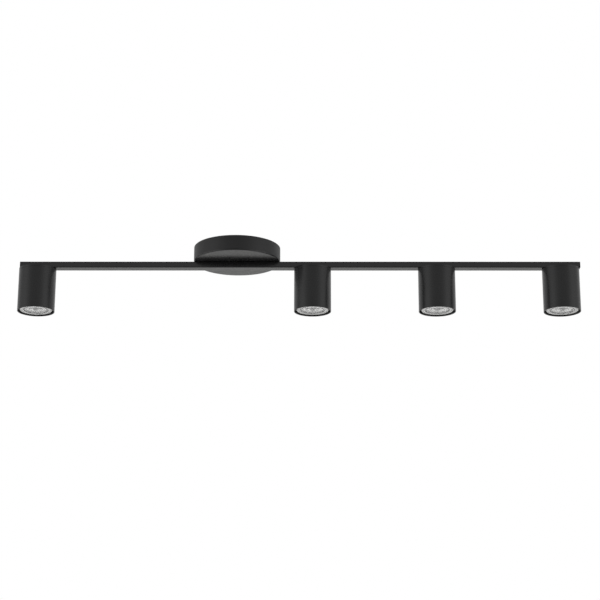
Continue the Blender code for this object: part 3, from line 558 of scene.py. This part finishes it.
def make_side_screw(side, finishes):
    """A low domed screw with a cross recess."""
    angle = SCREW_ANGLES[side]
    head, height, shank, length = 0.0033, 0.0014, 0.0018, 0.0090
    neck, point, plain = 0.0002, 0.0006, 0.0010
    pitch, root, tip = 0.0007, shank * 0.86, shank * 0.7
    slot_half, slot_half_width, slot_depth = 0.0017, 0.00035, 0.0009
    dome_radius = (head**2 + height**2) / (2 * height)
    steps = 8
    dome = []
    for i in range(steps):
        radius = head * (1 - i / steps)
        dome.append((radius, sqrt(dome_radius**2 - radius**2) - (dome_radius - height)))
    thread = []
    for i in range(int((length - plain) / pitch)):
        z = -length + point + i * pitch
        thread += [(root, z), (shank, z + pitch / 2)]
    profile = [(0, -length), (tip, -length), *thread, (shank, -neck), (head, 0), *dome, (0, height)]
    screw = turned(f"side_screw_{side}", profile, 40, finishes["black_screw"])
    cross_recess(screw, slot_half, slot_half_width, height - slot_depth, height * 2)
    outward = Matrix.Rotation(angle, 4, "Z") @ Matrix.Rotation(pi / 2, 4, "Y")
    screw.data.transform(Matrix.Translation(at_angle(CANOPY_RADIUS + GAP, angle, SCREW_Z)) @ outward)
    place(screw, "root", "black_screw", f"canopy_screw_{side}")


def bent_tab(angle, plate_radius, tab_radius, thickness):
    """An arm that reaches out from the plate, and the tab that hangs from its end."""
    arm_half, tab_half, overlap, skin = 0.0075, 0.0065, 0.0060, 0.0001
    bend, inner_bend, half_sheet = 0.0015, 0.0001, 0.0007
    centre = (tab_radius + half_sheet - bend, -bend - skin)
    side = arc(centre, bend, 0, 90, 6) + arc(centre, inner_bend, 90, 0, 2)
    side += [(tab_radius - half_sheet, PLATE_LOW.z), (tab_radius + half_sheet, PLATE_LOW.z)]
    arm = box("arm", (plate_radius - overlap, -arm_half, skin - thickness), (tab_radius, arm_half, -skin))
    tab = extruded("tab", side, "Z", -tab_half, tab_half)
    tab.data.transform(Matrix(((1, 0, 0, 0), (0, 0, 1, 0), (0, 1, 0, 0), (0, 0, 0, 1))))
    tab.data.flip_normals()
    for piece in (arm, tab):
        piece.data.transform(Matrix.Rotation(angle, 4, "Z"))
    return arm, tab


def make_plate(finishes):
    """The mounting plate: pressed steel with two bent tabs, two arc slots, and supply and earth holes."""
    thickness, radius, tab_radius = 0.0015, 0.0540, 0.0626
    slot_outer, slot_inner, slot_spread = 0.0440, 0.0392, 28
    supply_place, supply_radius = (-0.016, 0.017), 0.0095
    earth_place, screw_hole, half_cut = (0.024, 0.020), 0.0021, 0.0050
    profile = [(0, -thickness), (radius, -thickness), (radius, 0), (0, 0)]
    plate = turned("ceiling_plate", profile, 96, finishes["zinc_steel"])
    for angle in SCREW_ANGLES.values():
        join(plate, *bent_tab(angle, radius, tab_radius, thickness))
        cut(plate, outward_rod(screw_hole, tab_radius, half_cut, angle, 24))
    cutters = []
    for middle in (90, 270):
        outer = arc((0, 0), slot_outer, middle - slot_spread, middle + slot_spread, 20)
        inner = arc((0, 0), slot_inner, middle + slot_spread, middle - slot_spread, 20)
        cutters.append(extruded("slot", outer + inner, "Z", -half_cut, half_cut))
    cutters.append(upright(supply_radius, *supply_place, -half_cut, half_cut, 40))
    cutters.append(upright(screw_hole, *earth_place, -half_cut, half_cut, 24))
    cut(plate, *cutters)
    place(plate, "root", "zinc_steel", "mounting_plate")


# ---- bar ----
def bar_section(low_bend=0.0013, top_bend=0.0008):
    """The channel's outside as bent sheet leaves it: the whole underside, the top right and the top left."""
    bottom = arc((-BAR_HALF + low_bend, BAR_BOTTOM + low_bend), low_bend, 180, 270, 6)
    bottom += arc((BAR_HALF - low_bend, BAR_BOTTOM + low_bend), low_bend, 270, 360, 6)
    top_right = arc((BAR_HALF - top_bend, BAR_TOP - top_bend), top_bend, 0, 90, 5)
    top_left = arc((-BAR_HALF + top_bend, BAR_TOP - top_bend), top_bend, 90, 180, 5)
    return bottom, top_right, top_left


def make_bar(finishes):
    """The folded channel, open to the ceiling, with inward lips and small bends at its corners."""
    inner = BAR_HALF - BAR_SHEET
    inner_bend = 0.0004
    bottom, top_right, top_left = bar_section()
    outline = [
        *bottom,
        *top_right,
        (LIP_INNER, BAR_TOP),
        (LIP_INNER, LIP_UNDERSIDE),
        (inner, LIP_UNDERSIDE),
        *arc((inner - inner_bend, BAR_FLOOR + inner_bend), inner_bend, 0, -90, 3),
        *arc((-inner + inner_bend, BAR_FLOOR + inner_bend), inner_bend, -90, -180, 3),
        (-inner, LIP_UNDERSIDE),
        (-LIP_INNER, LIP_UNDERSIDE),
        (-LIP_INNER, BAR_TOP),
        *top_left,
    ]
    bar = extruded("bar_channel", outline, "X", BAR_LOW.x, BAR_HIGH.x, finishes["bar_black"])
    holes = [
        upright(STUD_RADIUS + GAP, x, 0, BAR_BOTTOM - CUT_PAST, BAR_FLOOR + CUT_PAST, 40)
        for x in HEAD_CENTRES.values()
    ]
    cut(bar, *holes)
    place(bar, "root", "satin_black", "track_channel")


def make_bar_cover(finishes):
    """The snap-in strip, with short grooves pressed across it."""
    ease, pitch, end_room, hole_room = 0.0002, 0.0400, 0.0100, 0.0150
    groove_half_width, groove_half, groove_depth = 0.0006, 0.0040, 0.0003
    top = COVER_HIGH.z
    strip = box("bar_strip", COVER_LOW, COVER_HIGH, finishes["black_plastic"])
    cut(strip, upright(NIPPLE_HOLE, 0, 0, COVER_LOW.z - THROUGH, top + THROUGH, 40))
    span = COVER_HIGH.x - COVER_LOW.x - 2 * end_room
    count = int(span / pitch)
    first = COVER_LOW.x + end_room + (span - count * pitch) / 2
    for i in range(count + 1):
        x = first + i * pitch
        if abs(x) < hole_room:
            continue
        low = (x - groove_half_width, -groove_half, top - groove_depth)
        cut(strip, box("groove", low, (x + groove_half_width, groove_half, top + CUT_PAST)))
    eased(strip, ease)
    place(strip, "root", "black_plastic", "track_cover")


def make_bar_end(side, finishes):
    """A moulded end plate on a hollow tongue, with the channel's corner radius."""
    plate, tongue, wall, web, ease = 0.0012, 0.0080, 0.0012, 0.0002, 0.00025
    end, inward = (END_LOW.x, 1) if side == "left" else (END_HIGH.x, -1)
    bottom, top_right, top_left = bar_section()
    outline = bottom + top_right + top_left
    cap = extruded(f"bar_end_{side}", outline, "X", end, end + inward * plate, finishes["black_plastic"])
    half = BAR_HALF - BAR_SHEET - GAP
    low, high = BAR_FLOOR + GAP, LIP_UNDERSIDE - GAP
    x0, x1 = sorted((end + inward * plate / 2, end + inward * (plate + tongue)))
    grip = box("grip", (x0, -half, low), (x1, half, high))
    x0, x1 = sorted((end + inward * (plate + web), end + inward * (plate + tongue + CUT_PAST)))
    hollow = box("hollow", (x0, -half + wall, low + wall), (x1, half - wall, high - wall))
    eased(cut(join(cap, grip), hollow), ease)
    place(cap, "root", "black_plastic", f"end_cap_{side}")


# ---- heads: built at the origin, then copied to each place ----
def hinge_rod(radius, start, end, segments=36, chamfer=0.0):
    return rod("knuckle", radius, (start, HINGE_Y, HINGE_Z), (end, HINGE_Y, HINGE_Z), segments, chamfer)


def pin_hole():
    return hinge_rod(PIN_RADIUS + PIN_ROOM, -CUT_HALF, CUT_HALF, 24)


def head_tube(finishes):
    """The thin round tube, with eased edges and a notch for the hinge. Its inner wall has a duller, darker
    paint: painted shade inside the tube.
    """
    ease, top_ease, step_height = 0.0004, 0.00005, 0.0100
    notch_front, notch_low = 0.0060, 0.0006
    inside = HEAD_RADIUS - HEAD_WALL
    lip = arc((HEAD_RADIUS - ease, HEAD_BOTTOM + ease), ease, 0, -90, 4)
    inner_lip = arc((inside + ease, HEAD_BOTTOM + ease), ease, -90, -180, 4)
    top = HEAD_TOP + SEAM_FILL
    profile = [
        (inside, top),
        (HEAD_RADIUS - top_ease, top),
        (HEAD_RADIUS, top - top_ease),
        *lip,
        *inner_lip,
        (inside, HEAD_BOTTOM + step_height),
    ]
    tube = turned("head_tube", profile, 128, finishes["satin_black"])
    half = LUG_OUTER + GAP
    low = (-half, HINGE_Y - notch_front, HINGE_Z - KNUCKLE_RADIUS - notch_low)
    cut(tube, box("notch", low, (half, HEAD_RADIUS + CUT_PAST, HEAD_TOP + CUT_PAST)))
    # The inner wall gets the darker copy: painted shade inside the tube.
    paint_inside(tube, inside, finishes["inner_painted_shade"])
    return tube


def paint_inside(tube, inside, finish):
    near, wall_normal = 0.0002, 0.5
    tube.data.materials.append(finish)
    for face in tube.data.polygons:
        if axis_distance(face) < inside + near and abs(face.normal.z) < wall_normal:
            face.material_index = 1


def head_disc(finishes):
    """The turning disc: a bore, a recess for the stud's flange, a flat at the rear and two hinge lugs."""
    ease, bottom = 0.00005, DISC_BOTTOM - SEAM_FILL
    recess_radius, recess_depth, flat_setback, knuckle_room = 0.0071, 0.0020, 0.0004, 0.0004
    profile = [
        (0, DISC_TOP),
        *arc((HEAD_RADIUS - ease, DISC_TOP - ease), ease, 90, 0, 3),
        *arc((HEAD_RADIUS - ease, bottom + ease), ease, 0, -90, 3),
        (0, bottom),
    ]
    disc = turned("turntable", profile, 128, finishes["satin_black"])
    low, high, rear = DISC_BOTTOM - CUT_PAST, DISC_TOP + CUT_PAST, HINGE_Y + THROUGH
    room_front = HINGE_Y - KNUCKLE_RADIUS - knuckle_room
    bore = upright(STUD_RADIUS + GAP, 0, 0, low, high, 40)
    recess = upright(recess_radius, 0, 0, low, DISC_BOTTOM + recess_depth, 48)
    flat = box("flat", (-CUT_HALF, HINGE_Y - flat_setback, low), (CUT_HALF, rear, high))
    room = box("room", (-LUG_INNER, room_front, low), (LUG_INNER, rear, high))
    cut(disc, bore, recess, flat, room)
    for way in (-1, 1):
        start, end = sorted((way * LUG_INNER, way * LUG_OUTER))
        join(disc, hinge_rod(KNUCKLE_RADIUS, start, end, 36, KNUCKLE_CHAMFER))
    return cut(disc, pin_hole())


def head_stud(finishes):
    """A hollow stud with a thread and an eased flange, which has a cross slot."""
    bottom, top = STUD_LOW.z, STUD_HIGH.z
    flange, ease, bore_ease, tip_ease = 0.0014, 0.0003, 0.0002, 0.0004
    pitch, thread_depth, thread_start = 0.0010, 0.0005, 0.0006
    slot_half, slot_half_width, slot_depth = 0.0085, 0.0006, 0.0005
    thread = []
    z = bottom + flange + thread_start
    while z + pitch < top - tip_ease:
        thread += [(STUD_RADIUS, z), (STUD_RADIUS - thread_depth, z + pitch / 2)]
        z += pitch
    profile = [
        (STUD_BORE, bottom + bore_ease),
        (STUD_BORE + bore_ease, bottom),
        *arc((STUD_FLANGE - ease, bottom + ease), ease, -90, 0, 3),
        (STUD_FLANGE, bottom + flange),
        (STUD_RADIUS, bottom + flange),
        *thread,
        (STUD_RADIUS - tip_ease, top),
        (STUD_BORE, top),
    ]
    stud = turned("hollow_stud", profile, 48, finishes["zinc_steel"])
    cross_recess(stud, slot_half, slot_half_width, bottom - CUT_PAST, bottom + slot_depth)
    return stud


def head_pin(finishes):
    pin = hinge_rod(PIN_RADIUS, -PIN_HALF, PIN_HALF, 28, KNUCKLE_CHAMFER)
    pin.name = "hinge_axle"
    pin.data.name = "hinge_axle"
    pin.data.materials.append(finishes["zinc_steel"])
    return pin


def head_cap(finishes):
    """The tube's top: room for the lugs, the lead's slot, the holder screw's sink and the middle knuckle."""
    ease, lug_room = 0.0002, 0.0005
    slot_radius, slot_rear, slot_front = 0.0026, 0.0170, -0.0006
    sink_bore, sink_top, sink_land, sink_past = 0.0018, 0.0034, 0.0004, 0.0002
    profile = [
        (0, HEAD_TOP),
        *arc((CAP_RADIUS - ease, HEAD_TOP - ease), ease, 90, 0, 2),
        (CAP_RADIUS, CAP_BOTTOM),
        (0, CAP_BOTTOM),
    ]
    cap = turned("cap_plate", profile, 96, finishes["satin_black"])
    low, high = CAP_BOTTOM - CUT_PAST, HEAD_TOP + CUT_PAST
    room_front = HINGE_Y - KNUCKLE_RADIUS - lug_room
    cutters = []
    for way in (-1, 1):
        x0, x1 = sorted((way * (LUG_INNER - GAP), way * (LUG_OUTER + GAP)))
        cutters.append(box("room", (x0, room_front, low), (x1, HEAD_RADIUS, high)))
    slot = arc((0, slot_rear), slot_radius, 0, 180, 16) + arc((0, slot_front), slot_radius, 180, 360, 16)
    cutters.append(extruded("slot", slot, "Z", low, high))
    sink_profile = [
        (0, low),
        (sink_bore, low),
        (sink_bore, CAP_BOTTOM + sink_land),
        (sink_top, HEAD_TOP + sink_past),
        (0, HEAD_TOP + sink_past),
    ]
    sink = turned("sink", sink_profile, 40)
    sink.data.transform(Matrix.Translation((0, HOLDER_SCREW_Y, 0)))
    cut(cap, *cutters, sink)
    join(cap, hinge_rod(KNUCKLE_RADIUS, -KNUCKLE_HALF, KNUCKLE_HALF, 36, KNUCKLE_CHAMFER))
    return cut(cap, pin_hole())


def holder_screw(finishes):
    """A countersunk screw with its thread in the lamp holder."""
    bottom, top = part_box("holder_screw_1")[0].z, HEAD_TOP - 0.0001
    shank, head, land, pitch = 0.0013, 0.0028, 0.0005, 0.0005
    root = shank * 0.82
    slot_half, slot_half_width, slot_depth = 0.0016, 0.0003, 0.0008
    thread = []
    for i in range(int((CAP_BOTTOM - bottom) / pitch)):
        thread += [(root, bottom + i * pitch), (shank, bottom + (i + 0.5) * pitch)]
    profile = [(0, bottom), *thread, (shank, CAP_BOTTOM + land), (head, top), (0, top)]
    screw = turned("holder_bolt", profile, 36, finishes["zinc_steel"])
    cross_recess(screw, slot_half, slot_half_width, top - slot_depth, top + CUT_PAST)
    screw.data.transform(Matrix.Translation((0, HOLDER_SCREW_Y, 0)))
    return screw


def lamp_holder(finishes):
    """The ceramic holder: a groove for the lead, a screw hole and two holes for the lamp's pins."""
    ease, top, bottom = 0.0008, HOLDER_HIGH.z, HOLDER_LOW.z
    groove_half, groove_front, groove_depth, groove_past = 0.0020, -0.0022, 0.0048, 0.0020
    screw_hole, screw_depth, pin_radius, pin_depth = 0.0016, 0.0075, 0.0028, 0.0080
    profile = [
        (0, bottom),
        *arc((HOLDER_RADIUS - ease, bottom + ease), ease, -90, 0, 4),
        *arc((HOLDER_RADIUS - ease / 2, top - ease / 2), ease / 2, 0, 90, 3),
        (0, top),
    ]
    holder = turned("ceramic_holder", profile, 72, finishes["ceramic"])
    groove_rear = HOLDER_RADIUS + groove_past
    low = (-groove_half, groove_front, top - groove_depth)
    cutters = [box("groove", low, (groove_half, groove_rear, top + CUT_PAST))]
    cutters.append(upright(screw_hole, 0, HOLDER_SCREW_Y, top - screw_depth, top + CUT_PAST, 24))
    for x in LAMP_PIN_PLACES:
        cutters.append(upright(pin_radius, x, 0, bottom - CUT_PAST, bottom + pin_depth, 32))
    return cut(holder, *cutters)


def lamp_shell(finishes):
    """The lamp's base, cone and rim, with a seat for the optic and the glass, and two pins with heads."""
    neck, neck_ease, neck_length = 0.0145, 0.0004, 0.0100
    flare_radius, flare_length = neck + 0.0012, 0.0140
    cone_front_radius, cone_front, cone_back_radius, cone_back = 0.0225, 0.0120, 0.0198, 0.0190
    rim, rim_edge, rim_step, rim_rise = 0.0045, 0.0018, 0.0010, 0.0006
    room, glass_room, seat_ease = 0.0002, 0.0004, 0.0003
    seat_radius, optic_radius = LENS_RADIUS + glass_room, OPTIC_RADIUS + room
    optic_back = OPTIC_FACE + OPTIC_DEPTH + room
    profile = [
        (0, LAMP_BACK),
        (0, optic_back),
        (optic_radius, optic_back),
        (optic_radius, OPTIC_FACE),
        (seat_radius, OPTIC_FACE),
        (seat_radius, LAMP_FACE + seat_ease),
        (seat_radius + seat_ease, LAMP_FACE),
        *arc((LAMP_RADIUS - rim_edge, LAMP_FACE + rim_edge), rim_edge, -90, 0, 4),
        (LAMP_RADIUS, LAMP_FACE + rim),
        (LAMP_RADIUS - rim_step, LAMP_FACE + rim + rim_rise),
        (cone_front_radius, LAMP_FACE + cone_front),
        (cone_back_radius, LAMP_FACE + cone_back),
        (flare_radius, LAMP_BACK - flare_length),
        (neck, LAMP_BACK - neck_length),
        (neck, LAMP_BACK - neck_ease),
        (neck - neck_ease, LAMP_BACK),
    ]
    lamp = turned("lamp_shell", profile, 96, finishes["lamp_shell"])
    for x in LAMP_PIN_PLACES:
        join(lamp, lamp_pin(x))
    return lamp


def lamp_pin(x):
    shank, head, head_height, ease, root = 0.0015, 0.0024, 0.0022, 0.0003, 0.0020
    top = LAMP_HIGH.z
    profile = [
        (0, LAMP_BACK - root),
        (shank, LAMP_BACK - root),
        (shank, top - head_height),
        (head, top - head_height),
        (head, top - ease),
        (head - ease, top),
        (0, top),
    ]
    pin = turned("pin", profile, 24)
    pin.data.transform(Matrix.Translation((x, 0, 0)))
    return pin


def lamp_optic(finishes):
    """The ring optic: white ridges, silvered grooves, a grey outer groove and a dark well in the middle."""
    shallow, deep, facing_down, well_radius = 0.0004, 0.0010, -0.9, 0.0035
    outer_low, outer_high, outer_shallow = 0.0174, 0.0191, 0.0005
    back = OPTIC_DEPTH - 0.0002
    profile = [(r, OPTIC_FACE + z) for r, z in (*OPTIC_FRONT, (OPTIC_RADIUS, OPTIC_DEPTH), (0, OPTIC_DEPTH))]
    optic = turned("lamp_optic", profile, 96, finishes["optic_white"])
    for finish in ("reflector", "optic_grey", "emitter"):
        optic.data.materials.append(finishes[finish])
    for face in optic.data.polygons:
        radius, depth = axis_distance(face), face.center.z - OPTIC_FACE
        if face.normal.z < facing_down and shallow < depth < deep:
            face.material_index = 1
        if outer_low < radius < outer_high and outer_shallow < depth < back:
            face.material_index = 2
        if radius < well_radius and depth < back:
            face.material_index = 3
    return optic


def emitter(finishes):
    """The small domed emitter in the middle of the optic."""
    base, radius, top = OPTIC_FACE + 0.0031, 0.0024, OPTIC_FACE + 0.0005
    dome = arc((0, top + radius), radius, -90, 0, 8)
    return turned("lamp_emitter", [*dome, (radius, base), (0, base)], 48, finishes["emitter"])


def lens(finishes):
    """The front glass: slightly domed, with a dotted border outside a shallow ring."""
    low = LAMP_FACE + 0.0002
    ring = LENS_RADIUS - 0.0022
    border_start = ring - 0.0003
    profile = [
        (0, LENS_TOP),
        (0, low),
        (LENS_RADIUS * 0.35, low + 0.00008),
        (LENS_RADIUS * 0.65, low + 0.00030),
        (ring - 0.0004, low + 0.00055),
        (ring, low + 0.00030),
        (ring + 0.0006, low + 0.00030),
        (ring + 0.0010, low + 0.00060),
        (LENS_RADIUS, low + 0.00080),
        (LENS_RADIUS, LENS_TOP),
    ]
    glass = turned("front_glass", profile, 96, finishes["lamp_glass"])
    glass.data.materials.append(finishes["lens_border"])
    for face in glass.data.polygons:
        if axis_distance(face) > border_start:
            face.material_index = 1
    return glass


def smooth_route(points, steps):
    """A curve through all the points, with its slope at each from the points before and after."""
    spans = [(b - a).length for a, b in zip(points, points[1:])]
    slopes = [(points[1] - points[0]) / spans[0]]
    for before, after, first, second in zip(points, points[2:], spans, spans[1:]):
        slopes.append((after - before) / (first + second))
    slopes.append((points[-1] - points[-2]) / spans[-1])
    route = []
    for i, span in enumerate(spans):
        for step in range(steps):
            t = step / steps
            route.append(
                points[i] * (2 * t**3 - 3 * t**2 + 1)
                + points[i + 1] * (3 * t**2 - 2 * t**3)
                + slopes[i] * span * (t**3 - 2 * t**2 + t)
                + slopes[i + 1] * span * (t**3 - t**2)
            )
    return [*route, points[-1]]


def tube_along(name, route, radius, sides, finish):
    """A round tube whose rings keep their turn along the route."""
    bm = bmesh.new()
    side = Vector((1, 0, 0))
    rings = []
    for before, here, after in zip([route[0], *route], route, [*route[1:], route[-1]]):
        along = (after - before).normalized()
        side = (side - along * side.dot(along)).normalized()
        up = along.cross(side)
        turns = [tau * i / sides for i in range(sides)]
        rings.append([bm.verts.new(here + (side * cos(a) + up * sin(a)) * radius) for a in turns])
    for low, high in zip(rings, rings[1:]):
        for i in range(sides):
            j = (i + 1) % sides
            bm.faces.new((low[i], low[j], high[j], high[i]))
    bm.faces.new(rings[0])
    bm.faces.new(rings[-1])
    return add_object(name, mesh_from(bm, name, radians(60)), finish)


def lead_route():
    """Down the stud, across the joint, out along the holder's groove and most of half a turn round it."""
    top, holder_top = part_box("lamp_lead_1")[1].z, HOLDER_HIGH.z
    crossing_rings, coil_steps, steps_per_span = 24, 6, 6
    coil_start, coil_turn, coil_radius, coil_inward = 100, 150, 0.0185, 0.0024
    coil_drop, coil_fall = 0.0038, 0.0050
    down = [Vector((0, 0, z)) for z in (top, top - 0.005, LEAD_TOP + 0.0002)]
    step = (LEAD_TOP - HEAD_TOP) / crossing_rings
    crossing = [Vector((0, 0, LEAD_TOP - step * i)) for i in range(crossing_rings + 1)]
    points = [
        Vector((0, 0, HEAD_TOP - 0.0002)),
        Vector((0, 0.0008, holder_top - 0.0004)),
        Vector((0, 0.0040, holder_top - 0.0027)),
        Vector((0, 0.0110, holder_top - 0.0030)),
    ]
    for i in range(coil_steps + 1):
        share = i / coil_steps
        angle = radians(coil_start + coil_turn * share)
        height = holder_top - coil_drop - coil_fall * share
        points.append(at_angle(coil_radius - coil_inward * share, angle, height))
    return down + crossing + smooth_route(points, steps_per_span)


def make_leads(finishes):
    """The sleeved leads, between the stud and the head's top, with close rings where the tilt joint opens.
    """
    sides = 14
    for i, x in HEAD_CENTRES.items():
        shift = Vector((x, 0, 0))
        route = [point + shift for point in lead_route()]
        lead = tube_along(f"sleeved_lead_{i}", route, LEAD_RADIUS, sides, finishes["cable_sheath"])
        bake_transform(lead)
        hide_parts(f"lamp_lead_{i}")


def make_heads(finishes):
    """One master of each piece, then a copy of it for every head."""
    panning = [
        (head_disc(finishes), "satin_black", "swivel_disc"),
        (head_stud(finishes), "zinc_steel", "swivel_stud"),
        (head_pin(finishes), "zinc_steel", "hinge_pin"),
    ]
    tilting = [
        (head_tube(finishes), "satin_black", "head_housing"),
        (head_cap(finishes), "satin_black", "head_cap"),
        (lamp_holder(finishes), "ceramic", "lamp_holder"),
        (holder_screw(finishes), "zinc_steel", "holder_screw"),
        (lamp_shell(finishes), "lamp_shell", "lamp_body"),
        (lamp_optic(finishes), "lamp_shell", None),
        (emitter(finishes), "lamp_shell", None),
        (lens(finishes), "lamp_glass", "lamp_lens"),
    ]
    for body, pieces in (("swivel", panning), ("head", tilting)):
        for master, slot, node in pieces:
            for i, x in HEAD_CENTRES.items():
                copy = add_object(f"{master.name}_{i}", master.data, None)
                copy.location = (x, 0, 0)
                nodes = [f"{node}_{i}"] if node else []
                place(copy, f"{body}_{i}", slot, *nodes)
            bpy.data.objects.remove(master)


def refinish_cad(finishes):
    """CAD nodes that stay get the finish of their own slot."""
    for entry in frame["record"]["subparts"]:
        node = frame["nodes"][entry["node"]]
        if node.hide_render:
            continue
        for index in range(len(node.material_slots)):
            node.material_slots[index].material = finishes[entry["material_slot"]]
        node.data.shade_smooth()
        node.data.set_sharp_from_angle(angle=SHARP)


# ---- stage, light and camera ----
def make_floor():
    """A pale studio floor under and behind the fixture."""
    darker, lighter = (0.80, 0.80, 0.79), (0.83, 0.83, 0.82)
    left, right = -FLOOR_HALF_WIDTH, FLOOR_HALF_WIDTH
    corners = ((left, FLOOR_NEAR), (right, FLOOR_NEAR), (right, FLOOR_FAR), (left, FLOOR_FAR))
    bm = bmesh.new()
    bm.faces.new([bm.verts.new((x, y, FLOOR_LEVEL)) for x, y in corners])
    material = bpy.data.materials.new("floor_paint")
    tree, shader = nodes_of(material)
    shader.inputs["Roughness"].default_value = 0.6
    tone = mix_colour(tree, spread(tree, noise(tree, 1.4), 0.0, 1.0), darker, lighter)
    tree.links.new(tone, shader.inputs["Base Color"])
    add_object("studio_floor", mesh_from(bm, "studio_floor"), material)


def ramp_of(tree, value, stops):
    """A piecewise linear grey ramp over 0 to 1."""
    ramp = tree.nodes.new("ShaderNodeValToRGB")
    elements = ramp.color_ramp.elements
    while len(elements) < len(stops):
        elements.new(0.5)
    for element, (position, level) in zip(elements, stops):
        element.position = position
        element.color = (level, level, level, 1.0)
    tree.links.new(value, ramp.inputs["Fac"])
    return ramp.outputs["Color"]


def make_world():
    """A studio whose walls are brightest to the left and right, a little ahead of the fixture. It is dark
    overhead, and below the horizon except at the sides. The backdrop that the camera sees is plain white."""
    world = bpy.data.worlds.new("studio")
    bpy.context.scene.world = world
    world.use_nodes = True
    tree = world.node_tree
    background = tree.nodes["Background"]
    where = tree.nodes.new("ShaderNodeTexCoord")
    split = tree.nodes.new("ShaderNodeSeparateXYZ")
    tree.links.new(where.outputs["Generated"], split.inputs["Vector"])
    flat = tree.nodes.new("ShaderNodeCombineXYZ")
    for axis in ("X", "Y"):
        tree.links.new(split.outputs[axis], flat.inputs[axis])
    level = worked_out(tree, "VectorMath", "NORMALIZE", flat.outputs["Vector"])
    bearing = tree.nodes.new("ShaderNodeSeparateXYZ")
    tree.links.new(level["Vector"], bearing.inputs["Vector"])
    facing = spread(tree, bearing.outputs["Y"], 0.0, 1.0, -1.0, 1.0)
    height = spread(tree, split.outputs["Z"], 0.0, 1.0, -1.0, 1.0)
    panels = []
    for by_bearing, by_height in ((AROUND, UPWARD), (LOW_AROUND, LOW_UPWARD)):
        ramps = ramp_of(tree, facing, by_bearing), ramp_of(tree, height, by_height)
        panels.append(worked_out(tree, "VectorMath", "MULTIPLY", *ramps)["Vector"])
    total = worked_out(tree, "VectorMath", "ADD", *panels)["Vector"]
    seen = tree.nodes.new("ShaderNodeLightPath")
    shown = mix_colour(tree, seen.outputs["Is Camera Ray"], total, WHITE)
    tree.links.new(shown, background.inputs["Color"])
    background.inputs["Strength"].default_value = 1.0


def make_floor_light():
    """A square panel over the floor, which shows in no reflection."""
    light = bpy.data.lights.new("floor_light", "AREA")
    light.shape = "RECTANGLE"
    light.size = light.size_y = FLOOR_LIGHT_SIZE
    light.energy = FLOOR_LIGHT_POWER
    made = bpy.data.objects.new("floor_light", light)
    bpy.context.scene.collection.objects.link(made)
    made.visible_glossy = False
    made.location = FLOOR_LIGHT_PLACE
    made.rotation_euler = Vector((0, 0, -1)).to_track_quat("-Z", "Y").to_euler()


def make_camera():
    """A long lens, low and in front, looking up at the fixture."""
    camera = bpy.data.cameras.new("camera")
    camera.sensor_width = CAMERA_SENSOR
    camera.lens = CAMERA_SENSOR * FOCAL_WIDTHS
    camera.clip_start, camera.clip_end = 0.05, 60.0
    made = bpy.data.objects.new("camera", camera)
    bpy.context.scene.collection.objects.link(made)
    pitch, yaw, roll = CAMERA_PITCH, CAMERA_YAW, CAMERA_ROLL
    forward = Vector((sin(yaw) * cos(pitch), cos(yaw) * cos(pitch), sin(pitch)))
    level_right = Vector((cos(yaw), -sin(yaw), 0))
    level_up = level_right.cross(forward)
    right = level_right * cos(roll) + level_up * sin(roll)
    up = level_up * cos(roll) - level_right * sin(roll)
    turn = Matrix((right, up, -forward)).transposed().to_4x4()
    made.matrix_world = Matrix.Translation(CAMERA_PLACE) @ turn
    bpy.context.scene.camera = made


def main():
    make_camera()
    finishes = make_finishes()
    make_canopy(finishes)
    for side in SCREW_ANGLES:
        make_side_screw(side, finishes)
        make_bar_end(side, finishes)
    make_plate(finishes)
    make_bar(finishes)
    make_bar_cover(finishes)
    make_heads(finishes)
    make_leads(finishes)
    refinish_cad(finishes)
    make_floor()
    make_world()
    make_floor_light()
    bpy.context.scene.view_settings.view_transform = "Standard"


main()
